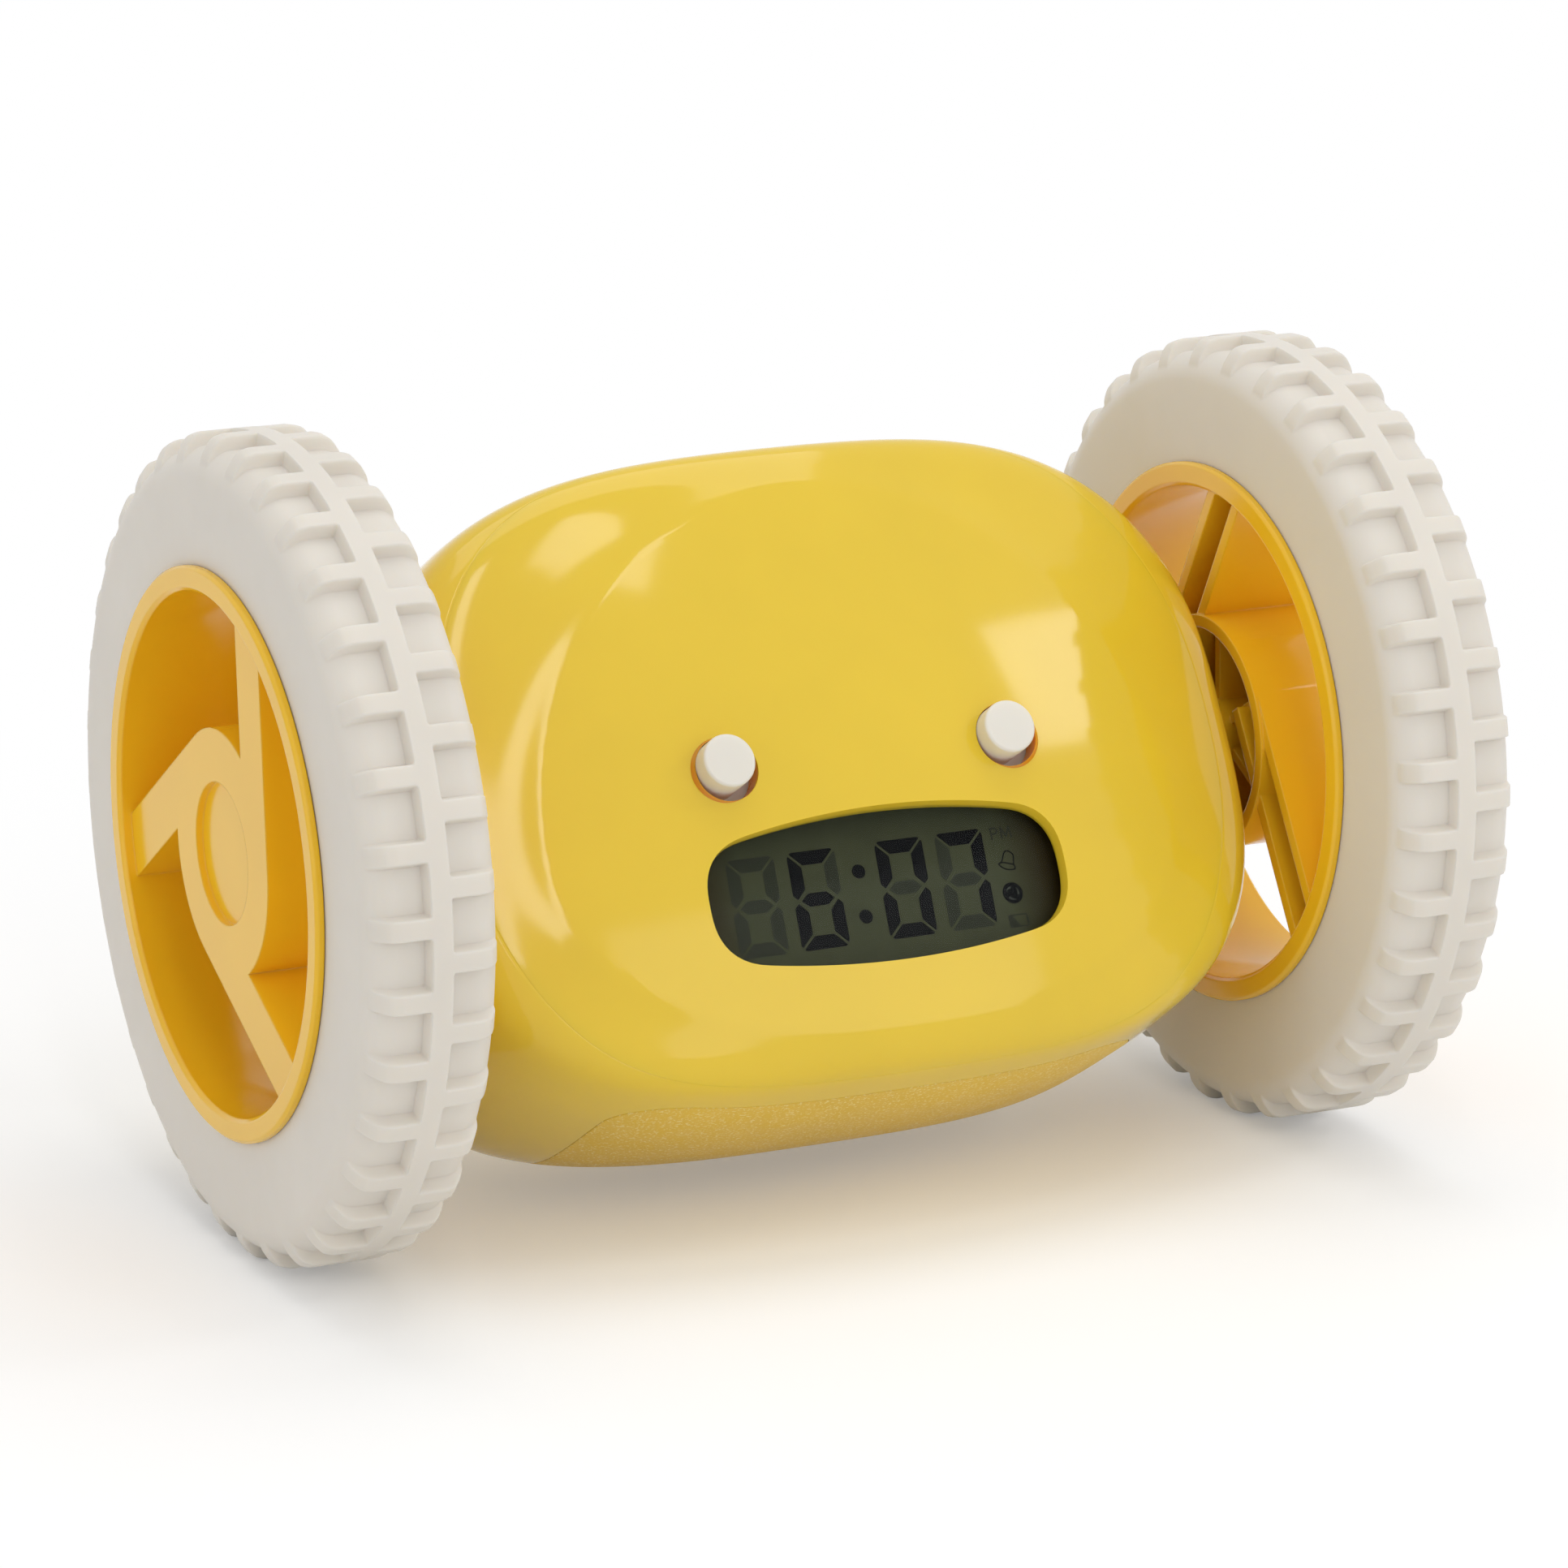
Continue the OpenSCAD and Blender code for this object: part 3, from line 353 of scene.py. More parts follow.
def plastic(name, rgb, rough, vary=0.04, grain=0.02, grain_scale=3.0, bevel=0.0, metallic=0.0,
            sss=0.0, ior=1.47, glow=(1.0, 0.8, 0.55), deep=2.5, specks=None):
    """Moulded or metal surface: slow colour drift, roughness drift, fine grain and soft edges."""
    m, nt, bs, vec = new_mat(name)
    base = lin(rgb)
    dark = (*[max(0.0, c * (1 - vary)) for c in base], 1)
    light = (*[min(1.0, c * (1 + vary)) for c in base], 1)
    colour = mixed(nt, spread(nt, noise(nt, vec, 0.06), 0, 1), dark, light)
    if specks:
        dots = spread(nt, noise(nt, vec, 3.2, 2), 0, 0.7, 0.56, 0.64)
        colour = mixed(nt, dots, colour, (*lin(specks), 1))
    nt.links.new(colour, bs.inputs["Base Color"])
    nt.links.new(spread(nt, noise(nt, vec, 0.4, 4), rough * 0.9, rough * 1.12), bs.inputs["Roughness"])
    bs.inputs["Metallic"].default_value = metallic
    bs.inputs["IOR"].default_value = ior
    if sss:
        bs.inputs["Subsurface Weight"].default_value = sss
        bs.inputs["Subsurface Radius"].default_value = glow
        bs.inputs["Subsurface Scale"].default_value = deep * MM
    bump = nt.nodes.new("ShaderNodeBump")
    bump.inputs["Strength"].default_value = 0.4
    bump.inputs["Distance"].default_value = grain * MM
    nt.links.new(noise(nt, vec, grain_scale, 2), bump.inputs["Height"])
    if bevel:
        bv = nt.nodes.new("ShaderNodeBevel")
        bv.samples = 6
        bv.inputs["Radius"].default_value = bevel * MM
        nt.links.new(bv.outputs["Normal"], bump.inputs["Normal"])
    nt.links.new(bump.outputs["Normal"], bs.inputs["Normal"])
    return m


M_YELLOW = plastic("yellow_gloss", (231, 197, 50), 0.08, 0.025, 0.003, 0.5,
                   sss=0.12, glow=(1.0, 0.6, 0.1), deep=1.0)
# deep orange for the eye-hole collars: painted shade and orange glow standing in for light through the
# shell in the holes, not the plastic's own colour
M_PAINTED_HOLE_GLOW = plastic("orange_painted_hole_glow", (232, 140, 18), 0.3, 0.04, 0.004, 0.8,
                   sss=0.5, glow=(1.0, 0.3, 0.03), deep=2.0)
M_DOOR = plastic("yellow_spark", (230, 190, 50), 0.42, 0.05, 0.09, 3.0, bevel=0.3, specks=(250, 232, 160))
M_RIM = plastic("orange_gloss", (246, 194, 34), 0.16, 0.03, 0.004, 0.6, bevel=0.3,
                sss=0.15, glow=(1.0, 0.5, 0.1), deep=1.5)
M_TYRE = plastic("white_silicone", (226, 220, 210), 0.5, 0.02, 0.01, 4.0, bevel=0.25, sss=0.35, ior=1.42)
M_WHITE = plastic("white_button", (228, 224, 214), 0.38, 0.02, 0.006, 3.0, bevel=0.12, sss=0.3)
M_SURROUND = plastic("display_surround", (40, 31, 20), 0.5, 0.08, 0.01, 5.0, ior=1.2)


def display_mat():
    """Dark olive glass, browner and darker towards its ends."""
    m, nt, bs, vec = new_mat("display_dark")
    sep = nt.nodes.new("ShaderNodeSeparateXYZ")
    nt.links.new(vec, sep.inputs[0])
    off = nt.nodes.new("ShaderNodeMath")
    off.operation = "ABSOLUTE"
    nt.links.new(sep.outputs["X"], off.inputs[0])
    ends = spread(nt, off.outputs[0], 0, 1, 15.0, 20.5)
    glass = mixed(nt, ends, (*lin((72, 75, 56)), 1), (*lin((50, 40, 22)), 1))
    cloud = spread(nt, noise(nt, vec, 0.3, 4), 0.93, 1.05)
    nt.links.new(mixed(nt, 1.0, glass, cloud, "MULTIPLY"), bs.inputs["Base Color"])
    bs.inputs["Roughness"].default_value = 0.3
    bs.inputs["IOR"].default_value = 1.1
    return m


def segment_mat(name, rgb):
    m, nt, bs, vec = new_mat(name)
    colour = mixed(nt, noise(nt, vec, 0.5), (*lin(rgb), 1), (*lin([c * 1.15 for c in rgb]), 1))
    nt.links.new(colour, bs.inputs["Base Color"])
    bs.inputs["Roughness"].default_value = 0.35
    bs.inputs["IOR"].default_value = 1.1
    return m


def pane_mat():
    """Clear pane with a light surface reflection."""
    m, nt, bs, vec = new_mat("clear_pane")
    nt.nodes.remove(bs)
    tr = nt.nodes.new("ShaderNodeBsdfTransparent")
    tr.inputs["Color"].default_value = (0.96, 0.97, 0.95, 1)
    gl = nt.nodes.new("ShaderNodeBsdfGlossy")
    nt.links.new(spread(nt, noise(nt, vec, 0.3), 0.05, 0.09), gl.inputs["Roughness"])
    fr = nt.nodes.new("ShaderNodeFresnel")
    fr.inputs["IOR"].default_value = 1.13
    pane = mix_shader(nt, fr.outputs[0], tr.outputs[0], gl.outputs[0])
    nt.links.new(pane, nt.nodes["Material Output"].inputs["Surface"])
    return m


M_LIT = segment_mat("segment_lit", (9, 10, 14))
M_GHOST = segment_mat("segment_ghost", (48, 51, 42))
M_MARK = segment_mat("segment_mark", (66, 70, 66))
LIB = {
    "shell_yellow": M_YELLOW,
    "steel": plastic("bright_steel", (170, 172, 176), 0.3, 0.05, 0.01, 5.0, metallic=1.0, ior=2.5),
    "lcd": display_mat(),
    "clear_pane": pane_mat(),
    "white_trim": plastic("white_satin", (226, 224, 216), 0.45, 0.03, 0.01, 4.0),
    "zebra": plastic("zebra_rubber", (190, 120, 124), 0.7, 0.08, 0.02, 8.0),
    "board": plastic("board_green", (26, 92, 54), 0.4, 0.1, 0.015, 2.0),
    "switch_black": plastic("switch_black", (30, 30, 32), 0.5, 0.1, 0.01, 6.0),
    "button_white": M_WHITE,
    "speaker_black": plastic("speaker_black", (28, 28, 30), 0.6, 0.15, 0.03, 2.0),
    "tray_black": plastic("tray_black", (34, 34, 36), 0.55, 0.1, 0.02, 5.0),
    "brass": plastic("brass_bright", (204, 168, 96), 0.3, 0.06, 0.01, 6.0, metallic=1.0, ior=2.0),
    "cell": plastic("cell_sleeve", (66, 84, 130), 0.35, 0.06, 0.01, 2.0),
    "motor_can": plastic("motor_plated", (170, 172, 176), 0.35, 0.06, 0.02, 4.0, metallic=1.0, ior=2.5),
    "gear_white": plastic("gear_acetal", (228, 226, 218), 0.42, 0.03, 0.01, 6.0),
    "gearcase": plastic("gearcase_grey", (176, 176, 172), 0.5, 0.05, 0.02, 5.0),
    "wheel_orange": M_RIM,
    "tyre_white": M_TYRE,
}

slots = {s["node"]: s["material_slot"] for s in frame["record"]["subparts"]}
for node, ob in frame["nodes"].items():
    ob.data.materials.clear()
    ob.data.materials.append(M_SURROUND if node == "lcd_frame" else LIB[slots[node]])


def finish_piece(ob, body, mat, nodes=()):
    ob.data.materials.clear()
    ob.data.materials.append(mat)
    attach(ob, body)
    if nodes:
        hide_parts(*nodes)
    return ob


# ---------------------------------------------------------------- window outline
def in_window(x, v, g):
    """Inside the window outline grown by g: bowed long sides and elliptical ends."""
    if abs(x) >= WIN_HW + g:
        return False
    top = -WIN_TOP + g - WIN_BOW[0] + math.sqrt(WIN_BOW[0] ** 2 - x * x)
    bottom = -WIN_BOTTOM - g + WIN_BOW[1] - math.sqrt(WIN_BOW[1] ** 2 - x * x)
    w = abs(2 * v - top - bottom) / (top - bottom)
    return w < 1 and abs(x) <= WIN_HW + g - WIN_ROUND * (1 - (1 - w ** 2.8) ** (1 / 2.8))


def window_loop(g, n=180):
    """Outline of the window grown by g, found by halving along rays from its middle."""
    c = (0.0, -(WIN_TOP + WIN_BOTTOM) / 2)
    out = []
    for a in np.arange(n) * 2 * math.pi / n:
        lo, hi = 0.0, 40.0
        for _ in range(30):
            mid = (lo + hi) / 2
            if in_window(c[0] + mid * math.cos(a), c[1] + mid * math.sin(a), g):
                lo = mid
            else:
                hi = mid
        out.append((c[0] + lo * math.cos(a), c[1] + lo * math.sin(a)))
    return np.array(out)


def window_cutter():
    """Window opening with a drafted wall and a rounded lip that follow the face."""
    rings = []
    for under, g in ((None, 0.0), (1.3, 0.0), (0.45, 0.16), (0.16, 0.3), (0.04, 0.46), (-0.04, 0.66)):
        loop = window_loop(g)
        if under is None:
            n = np.full(len(loop), 10.0)
        else:
            off2 = loop[:, 0] ** 2 + (loop[:, 1] - MID_U) ** 2
            n = FACE_N - FACE_R + np.sqrt(FACE_R ** 2 - off2) - under
        rings.append(np.stack([loop[:, 0], n, loop[:, 1]], 1))
    last = rings[-1] + np.array([0, 3.0, 0])
    mid = -(WIN_TOP + WIN_BOTTOM) / 2
    return ring_stack("c", rings + [last], ((0.0, 10.0, mid), (0.0, 24.5, mid)))


# ---------------------------------------------------------------- body shells
COLS = 256


def bowl(name, pole, rows):
    """Shell from the pole (0 front, pi rear) to the joint, with a softened edge at the joint."""
    be = np.arange(COLS) * 2 * math.pi / COLS
    side = 1 if pole == 0 else -1
    soft = [(0.08, 0.0), (0.0, 0.05)]
    last = angle_at(be, 0.0, SEAM_N + side * soft[0][0])
    rings = [skin_pt(pole + (last - pole) * i / rows, be, 0.0) for i in range(1, rows + 1)]
    for gap, deep in soft[1:]:
        rings.append(skin_pt(angle_at(be, deep, SEAM_N + side * gap), be, deep))
    inner = angle_at(be, WALL, SEAM_N + side * 0.02)
    rings.append(skin_pt(inner, be, WALL))
    steps = rows // 3
    rings += [skin_pt(pole + (inner - pole) * i / steps, be, WALL) for i in range(steps - 1, 0, -1)]
    ends = [skin_pt(np.array(float(pole)), np.array(0.0), deep) for deep in (0.0, WALL)]
    return ring_stack(name, rings, ends)


front = bowl("front_shell_skin", 0.0, 96)
cuts = [window_cutter()]
for s in (-1, 1):
    eye_hole = circle(EYE_HOLE_R, 64, s * EYE_X + EYE_SHIFT[0], EYE_U + EYE_SHIFT[1])
    cuts.append(prism("c", eye_hole, ahead, 10, 26))
boolean(front, join(cuts, "cuts"))
shade(front, 30, True)
finish_piece(front, "housing", M_YELLOW, ["front_shell"])

rear = bowl("rear_shell_skin", math.pi, 128)


def door_sector(g, hw):
    """Wedge of the belly the door fills, across the body."""
    end = math.radians(DOOR_END + g)
    pts = [(15, -26), (30, -52), (0, -90), (-60, -60), (60 * math.cos(end), -60 * math.sin(end)),
           (30 * math.cos(end), -30 * math.sin(end)), (-20, -22), (0, -30)]
    return prism("c", pts, across, -hw - g, hw + g)


def door_plan(g):
    """Plan outline of the door seen from above, rounded at the front corners."""
    hw, fr = DOOR_HW + g, DOOR_FRONT + g
    r = 8.0
    a = np.linspace(0, math.pi / 2, 17)
    right = [(hw - r + r * math.cos(t), fr - r + r * math.sin(t)) for t in a]
    left = [(-x, y) for x, y in reversed(right)]
    return np.array([(hw, -70.0)] + right + left + [(-hw, -70.0)])


def door_cutter(g):
    plan = prism("plan", door_plan(g), lambda a, b, h: np.stack([a, b, h], -1), -60, 0)
    return boolean(door_sector(g, DOOR_HW), plan, "INTERSECT")


boolean(rear, door_cutter(FIT))
cuts = []
for s in (-1, 1):
    cuts.append(prism("c", circle(3.15, 48), across, s * 40, s * 60))
    for px, pu in POSTS:
        cuts.append(prism("c", circle(WELL_R, 40, s * px, pu), ahead, -50, -14))
for kx, ku in KEYS:
    cuts.append(prism("c", circle(2.85, 48, kx, ku), ahead, -50, -30))
holes = [(0.0, SPEAKER_U)]
for k in (1, 2):
    for i in range(6 * k):
        t = i * math.pi / 3 / k
        holes.append((HOLE_STEP * k * math.cos(t), SPEAKER_U + HOLE_STEP * k * math.sin(t)))
for hx, hu in holes:
    cuts.append(prism("c", circle(0.9, 24, hx, hu), ahead, -50, -34))
boolean(rear, join(cuts, "cuts"))
shade(rear, 30, True)
finish_piece(rear, "housing", M_YELLOW, ["rear_shell"])

# screw wells seen through the rear openings
WELL = ((2.85, -20), (2.85, 2.0), (1.3, 2.0), (1.3, 2.6), (WELL_R, 2.6), (WELL_R, -25), (2.5, -25))
t = np.arange(40) * 2 * math.pi / 40
wells = []
for s in (-1, 1):
    for px, pu in POSTS:
        rings = [np.stack([s * px + r * np.cos(t), np.full(40, n), pu + r * np.sin(t)], 1)
                 for r, n in WELL]
        wells.append(ring_stack("c", rings + [rings[0]], None))
well = shade(join(wells, "screw_wells"), 40)
finish_piece(well, "housing", M_YELLOW, ())

# ---------------------------------------------------------------- battery door
nx, na = ((110, 170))
xs = np.linspace(-DOOR_HW - 1.5, DOOR_HW + 1.5, nx + 1)
an = np.radians(np.linspace(68, DOOR_END + 3, na + 1))
X, A = np.meshgrid(xs, an)
layers = []
for t in (0.0, WALL - 0.2):
    r = skin_at(X, A, t)
    layers.append(np.stack([X, r * np.cos(A), -r * np.sin(A)], -1).reshape(-1, 3))
row = nx + 1
under = row * (na + 1)
fs = []
for j in range(na):
    for i in range(nx):
        k = j * row + i
        fs += [(k, k + 1, k + 1 + row, k + row)]
        fs += [(k + under, k + row + under, k + 1 + row + under, k + 1 + under)]
for j in range(na):
    for i in (0, nx):
        k = j * row + i
        fs.append((k, k + row, k + row + under, k + under))
for i in range(nx):
    for j in (0, na):
        k = j * row + i
        fs.append((k, k + 1, k + 1 + under, k + under))
door = make("battery_door_skin", np.concatenate(layers), fs)
boolean(door, door_cutter(0.0), "INTERSECT")
sa = math.radians(DOOR_SCREW)


def radial(a, b, h):
    """a across, b round the belly, height away from the axle at the door screw."""
    return np.stack([a, h * math.cos(sa) + b * math.sin(sa), -h * math.sin(sa) + b * math.cos(sa)], -1)


boolean(door, prism("c", circle(2.45, 48), radial, 39.1, 45))
boolean(door, prism("c", circle(1.35, 32), radial, 30, 39.2))
shade(door, 30, True)
finish_piece(door, "housing", M_DOOR, ["battery_door"])

# ---------------------------------------------------------------- tyres
TYRE_R, LUG, TREAD_R, TYRE_HW = 43.5, 1.5, 42.0, 7.15
MID_X, SEAT_R, ROUND = 58.25, 28.8, 3.1
LUGS, LUG_HALF, LUG_ARC_R = 36, 1.175, 43.0
TURN = {"left": 93.6, "right": 118.0}


def tyre(side):
    """Tread with staggered lugs and a middle rib, swept from a plain and a raised section."""
    sx = -1 if side == "left" else 1
    rise = [0, 0.8, 1.2, 1.34, 1.44, 1.52, 1.6, 1.7, 1.8, 2.0, 2.5]
    half = rise + [5 - v for v in rise[-2::-1]]
    ang = np.concatenate([np.array(half[:-1]) + 5 * k for k in range(2 * LUGS)])
    flat = np.array([0.0, 0.6, 1.0, 1.08, 1.16, 1.24, 1.32, 1.42, 1.55, 2.0, 2.7, 3.4, 4.05])
    arc = np.radians(np.arange(87, -1, -3.0))
    bump = np.interp(np.degrees(arc), [0, 28, 33, 57, 74, 90], [0, 0, 0.05, 0.70, 1.32, LUG])
    base, top = [], []
    for z in flat:
        base.append((TREAD_R, z))
        top.append((TYRE_R, z))
    for t, h in zip(arc, bump):
        for section, r in ((base, ROUND), (top, ROUND + h)):
            section.append((TREAD_R - ROUND + r * math.sin(t), TYRE_HW - ROUND + r * math.cos(t)))
    for wall in ((37.4, 7.14), (35.5, 7.1), (33.5, 7.07), (31.5, 7.06), (30.0, 7.05), (29.2, 7.02),
                 (SEAT_R + 0.05, 6.8)):
        base.append(wall)
        top.append(wall)
    base, top = np.array(base), np.array(top)
    w_rib = 1 - smooth((base[:, 1] - 1.08) / 0.36)
    w_rib[len(flat):] = 0
    rings = {1: [], -1: []}
    for sd in (1, -1):
        for i in range(0 if sd == 1 else 1, len(base)):
            stagger = 0 if sd == 1 else 5.0
            d = np.radians(np.abs((ang - stagger + 5) % 10 - 5)) * LUG_ARC_R
            w_lug = 1 - smooth((d - LUG_HALF + 0.2) / 0.4)
            w = 1 - (1 - w_rib[i]) * (1 - w_lug)
            r = base[i, 0] + w * (top[i, 0] - base[i, 0])
            z = sd * (base[i, 1] + w * (top[i, 1] - base[i, 1]))
            rings[sd].append((r, z))
    turned = np.radians(ang) + math.radians(TURN[side])
    out = []
    for r, z in rings[-1][::-1] + rings[1]:
        out.append(np.stack([sx * (MID_X + z), sx * r * np.cos(turned), r * np.sin(turned)], 1))
    m = len(ang)
    pts = np.concatenate(out) + np.array([0, 0, AXLE_H])
    j = np.arange(m)
    f = []
    for i in range(len(out)):
        k = (i + 1) % len(out)
        f += list(zip(i * m + j, i * m + (j + 1) % m, k * m + (j + 1) % m, k * m + j))
    ob = make(side + "_tyre_tread", pts * MM, f, world=False)
    shade(ob, 60)
    return finish_piece(ob, side + "_wheel", M_TYRE, [side + "_tyre"])


for side in ("left", "right"):
    tyre(side)


# ---------------------------------------------------------------- eye buttons
def eye_collar(side):
    """Short guide collar under the face round an eye hole, clear of the button's flange, coloured deep
    orange as painted shade and glow inside the hole.
    """
    x = (-EYE_X if side == "left" else EYE_X) + EYE_SHIFT[0]
    t = np.arange(64) * 2 * math.pi / 64
    rings = [np.stack([x + r * np.cos(t), np.full(64, n), EYE_U + EYE_SHIFT[1] + r * np.sin(t)], 1)
             for r, n in ((EYE_HOLE_R - 0.04, 16.75), (EYE_HOLE_R - 0.04, 19.3), (5.0, 17.5), (5.0, 16.75))]
    ob = ring_stack(side + "_eye_collar", rings + [rings[0]], None)
    shade(ob, 40)
    # the collar's deep orange is painted shade and glow of the eye hole
    return finish_piece(ob, "housing", M_PAINTED_HOLE_GLOW, ())


def eye_cap(side):
    x = -EYE_X if side == "left" else EYE_X
    prof = [(FLANGE_R, 15.7), (FLANGE_R, 16.55), (CAP_R, 16.6), (CAP_R, 21.3)]
    prof += [(CAP_R - CAP_ROUND + CAP_ROUND * math.cos(a), 21.46 + CAP_ROUND * math.sin(a))
             for a in np.radians(np.arange(0, 91, 10))]
    prof += [(1.4, 21.82), (0.7, 21.835)]
    t = np.arange(96) * 2 * math.pi / 96
    rings = [np.stack([x + r * np.cos(t), np.full(96, n), EYE_U + r * np.sin(t)], 1)
             for r, n in prof]
    ob = ring_stack(side + "_eye_cap", rings, ((x, 15.7, EYE_U), (x, 21.84, EYE_U)))
    shade(ob, 32)
    return finish_piece(ob, side + "_eye", M_WHITE, [side + "_eye_button"])


for side in ("left", "right"):
    eye_cap(side)
    eye_collar(side)


# ---------------------------------------------------------------- display art
SLANT = 0.064
DIG_U = -16.75
SEGS = {
    "a": [(-2.25, 5.34), (2.25, 5.34), (2.5, 5.18), (1.14, 3.84), (-1.14, 3.84), (-2.5, 5.18)],
    "f": [(-2.66, 4.98), (-2.78, 4.7), (-2.78, 0.68), (-2.26, 0.2), (-1.28, 1.25), (-1.28, 3.6)],
    "g": [(-1.92, 0.0), (-1.05, 0.78), (1.05, 0.78), (1.92, 0.0), (1.08, -0.66), (-1.08, -0.66)],
}
SEGS["b"] = [(-x, y) for x, y in SEGS["f"]]
SEGS["e"] = [(x, -y) for x, y in SEGS["f"]]
SEGS["c"] = [(-x, -y) for x, y in SEGS["f"]]
SEGS["d"] = [(x, -y) for x, y in SEGS["a"]]
lit, ghost = [], []


def flat_shape(loop, level=0.0):
    return prism("c", loop, ahead, GLASS_N + 0.005 + level, GLASS_N + 0.02 + level)


def digit(cx, on):
    for k, pts in SEGS.items():
        loop = [(cx + x + SLANT * y, DIG_U + y) for x, y in pts]
        (lit if k in on else ghost).append(flat_shape(loop))


def stroke(path, w, closed=False):
    """Thin line of width w along a path, as one outline per piece."""
    pts = [Vector(q) for q in path]
    n = len(pts)
    for i in range(n if closed else n - 1):
        a, b = pts[i], pts[(i + 1) % n]
        d = (b - a).normalized()
        q = Vector((-d.y, d.x)) * w / 2
        e = d * w * 0.35
        yield [tuple(a + q - e), tuple(a - q - e), tuple(b - q + e), tuple(b + q + e)]


digit(-13.96, "")
digit(-6.9, "acdefg")
digit(3.3, "abcdef")
digit(10.38, "abc")
for cx, cu in ((-1.6, -14.34), (-1.97, -19.25)):
    lit.append(flat_shape(circle(0.77, 40, cx, cu)))
bell = [(14.99, -15.33), (15.23, -14.93), (15.4, -14.53), (15.57, -14.3), (15.8, -14.21), (16.1, -14.25),
        (16.37, -14.5), (16.52, -14.73), (16.5, -15.0), (16.4, -15.33), (16.3, -15.77)]
mouth = [(14.59, -15.5), (14.9, -15.4), (15.37, -15.45), (15.8, -15.6), (16.3, -15.79), (16.4, -15.97),
         (16.39, -16.25), (16.0, -16.32), (15.6, -16.27), (15.13, -16.1), (14.8, -15.83)]
lit += [flat_shape(q, 0.001 * i) for i, q in enumerate(stroke(bell, 0.14))]
lit += [flat_shape(q, 0.001 * i) for i, q in enumerate(stroke(mouth, 0.14, True))]
disc = (15.41, -18.83)
lit.append(flat_shape(circle(1.17, 56, *disc)))
bright = []
for k in range(3):
    rot = math.radians(120 * k)
    sweep = [(i / 8, math.radians(100 + 70 * i / 8)) for i in range(9)]
    arm = [(0.74 * math.cos(t), 0.74 * math.sin(t)) for _, t in sweep]
    arm += [((0.52 + 0.2 * q) * math.cos(t), (0.52 + 0.2 * q) * math.sin(t)) for q, t in sweep[::-1]]
    loop = [(disc[0] + x * math.cos(rot) - y * math.sin(rot),
             disc[1] + x * math.sin(rot) + y * math.cos(rot)) for x, y in arm]
    bright.append(flat_shape(loop, 0.02))
letter_p = [[(14.56, -12.77), (14.56, -11.6)],
            [(14.56, -11.6), (15.1, -11.6), (15.28, -11.8), (15.28, -12.0), (15.1, -12.2), (14.56, -12.2)]]
letter_m = [[(15.72, -12.77), (15.78, -11.6), (16.24, -12.6), (16.74, -11.6), (16.84, -12.77)]]
cell_mark = [[(14.28, -21.25), (16.36, -21.25), (16.36, -22.52), (14.28, -22.52), (14.28, -21.25)],
             [(16.47, -21.6), (16.47, -22.2)]]
fine = [q for path in letter_p + letter_m for q in stroke(path, 0.2)]
fine += [q for path in cell_mark for q in stroke(path, 0.15)]
ghost += [flat_shape(q, 0.001 * i) for i, q in enumerate(fine)]
ghost.append(flat_shape([(14.3, -21.3), (14.7, -21.3), (15.5, -22.5), (14.3, -22.5)], 0.03))
finish_piece(join(lit, "display_lit"), "housing", M_LIT, ())
finish_piece(join(ghost, "display_ghost"), "housing", M_GHOST, ())
finish_piece(join(bright, "display_disc_marks"), "housing", M_MARK, ())


# ---------------------------------------------------------------- stage, lights, camera
def white(nt, kind, strength):
    node = nt.nodes.new(kind)
    node.inputs["Color"].default_value = (1, 1, 1, 1)
    node.inputs["Strength"].default_value = strength
    return node.outputs[0]


def seen(nt):
    """1 for rays that show the background: from the camera, off gloss and through glass."""
    lp = nt.nodes.new("ShaderNodeLightPath")
    total = lp.outputs["Is Camera Ray"]
    for kind in ("Is Glossy Ray", "Is Transmission Ray"):
        add = nt.nodes.new("ShaderNodeMath")
        add.operation = "MAXIMUM"
        nt.links.new(total, add.inputs[0])
        nt.links.new(lp.outputs[kind], add.inputs[1])
        total = add.outputs[0]
    return total


def floor_mat():
    """Pale floor that fades to white away from the part, for rays that show the background."""
    m = bpy.data.materials.new("floor_pale")
    m.use_nodes = True
    nt = m.node_tree
    nt.nodes.clear()
    out = nt.nodes.new("ShaderNodeOutputMaterial")
    df = nt.nodes.new("ShaderNodeBsdfDiffuse")
    df.inputs["Color"].default_value = (0.86, 0.86, 0.86, 1)
    near = nt.nodes.new("ShaderNodeAddShader")
    nt.links.new(df.outputs[0], near.inputs[0])
    nt.links.new(white(nt, "ShaderNodeEmission", FLOOR_LIFT), near.inputs[1])
    tc = nt.nodes.new("ShaderNodeTexCoord")
    away = nt.nodes.new("ShaderNodeVectorMath")
    away.operation = "LENGTH"
    nt.links.new(tc.outputs["Object"], away.inputs[0])
    far = nt.nodes.new("ShaderNodeMapRange")
    far.interpolation_type = "SMOOTHSTEP"
    far.inputs["From Min"].default_value = 0.08
    far.inputs["From Max"].default_value = 0.22
    nt.links.new(away.outputs["Value"], far.inputs["Value"])
    plain = white(nt, "ShaderNodeEmission", 1.0)
    ground = mix_shader(nt, far.outputs["Result"], near.outputs[0], plain)
    nt.links.new(mix_shader(nt, seen(nt), df.outputs[0], ground), out.inputs["Surface"])
    return m


floor = make("floor", [(-3, -3, 0), (3, -3, 0), (3, 3, 0), (-3, 3, 0)], [(0, 1, 2, 3)], world=False)
floor.data.materials.append(floor_mat())

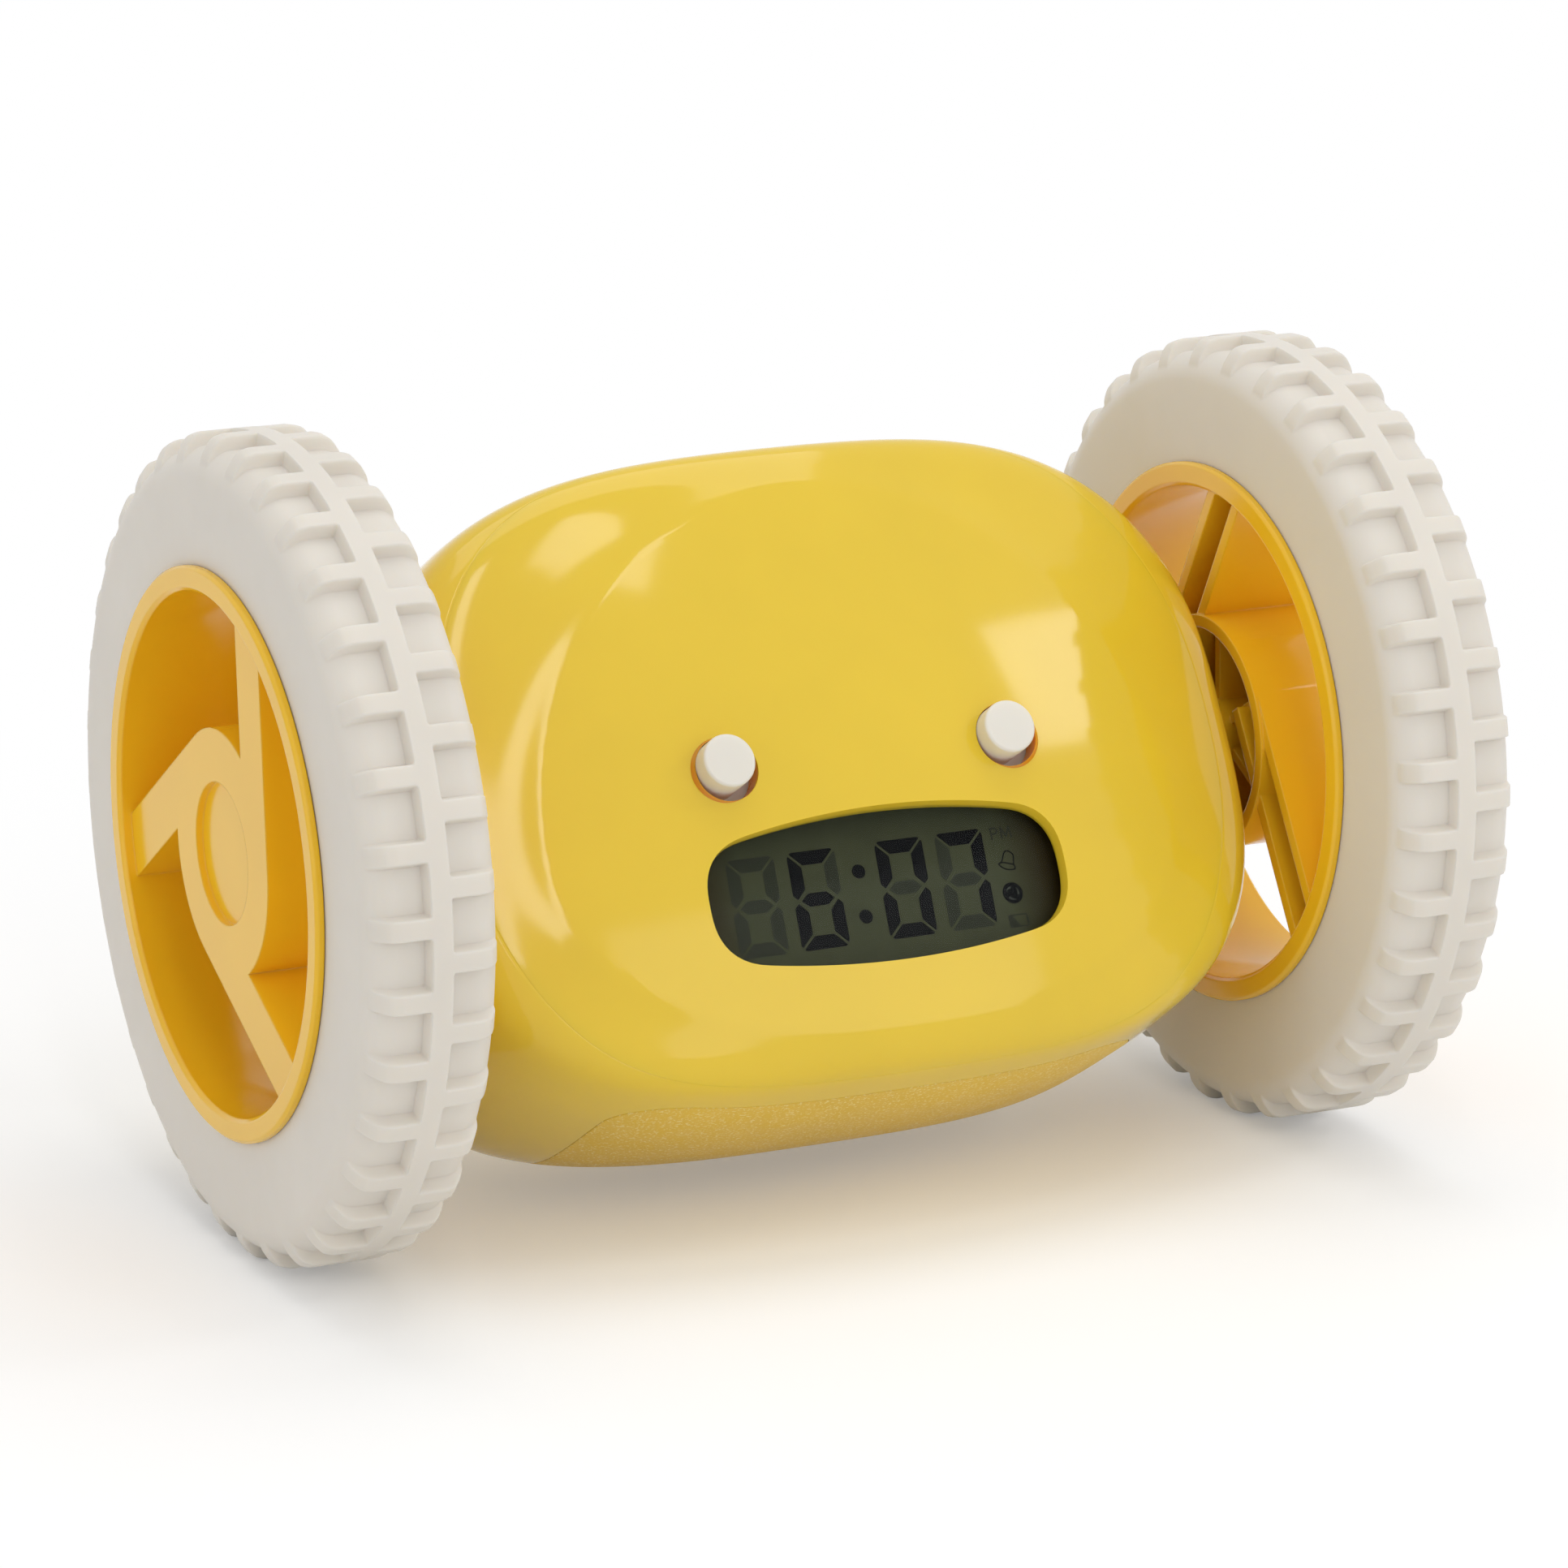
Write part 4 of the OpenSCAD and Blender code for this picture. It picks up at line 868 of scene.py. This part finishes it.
world = bpy.data.worlds.new("studio")
bpy.context.scene.world = world
world.use_nodes = True
nt = world.node_tree
nt.nodes.clear()
out = nt.nodes.new("ShaderNodeOutputWorld")
lights = white(nt, "ShaderNodeBackground", WORLD_LIGHT)
backdrop = white(nt, "ShaderNodeBackground", 1.0)
nt.links.new(mix_shader(nt, seen(nt), lights, backdrop), out.inputs["Surface"])


def softbox(name, toward, dist, size, radiance, along=(1, 0, 0)):
    """Rectangular lamp in a direction from the body, its long side turned along a vector."""
    li = bpy.data.lights.new(name, "AREA")
    li.shape = "RECTANGLE"
    li.size, li.size_y = size
    li.energy = radiance * math.pi * size[0] * size[1]
    ob = bpy.data.objects.new(name, li)
    bpy.context.scene.collection.objects.link(ob)
    z = Vector(toward).normalized()
    y = z.cross(Vector(along)).normalized()
    x = y.cross(z)
    place = Matrix.Translation(z * dist + Vector((0, 0, AXLE_H * MM)))
    ob.matrix_world = place @ Matrix((x, y, z)).transposed().to_4x4()


softbox("key_right", (0.72, -0.39, 0.565), 0.9, (0.26, 0.15), 4.2, (0.17, 0.17, -0.09))
softbox("key_left", (0.14, -0.40, 0.90), 0.9, (0.13, 0.14), 3.5, (0.14, -0.05, -0.04))
softbox("strip_left", (-0.2, -0.63, 0.75), 0.9, (0.72, 0.06), 4.0, (0.17, 0.5, 0.5))
softbox("top", (0.1, 0.15, 1.0), 1.1, (0.9, 0.7), 1.3)
softbox("front", (0.35, -1.0, 0.35), 1.2, (0.8, 0.6), 1.05)
softbox("fill_left", (-1.0, -0.35, 0.2), 1.2, (0.8, 0.6), 0.6)

cam = bpy.data.cameras.new("camera")
cam.sensor_width = 36.0
cam.lens = 7846.56 / 1932 * 36.0
cam_ob = bpy.data.objects.new("camera", cam)
bpy.context.scene.collection.objects.link(cam_ob)
cam_ob.location = (-0.285637, -0.594957, 0.22138)
cam_ob.rotation_euler = (math.pi / 2 - 0.263415, 0, -0.44675)
cam.clip_start = 0.01
bpy.context.scene.camera = cam_ob
bpy.context.scene.view_settings.view_transform = "Standard"
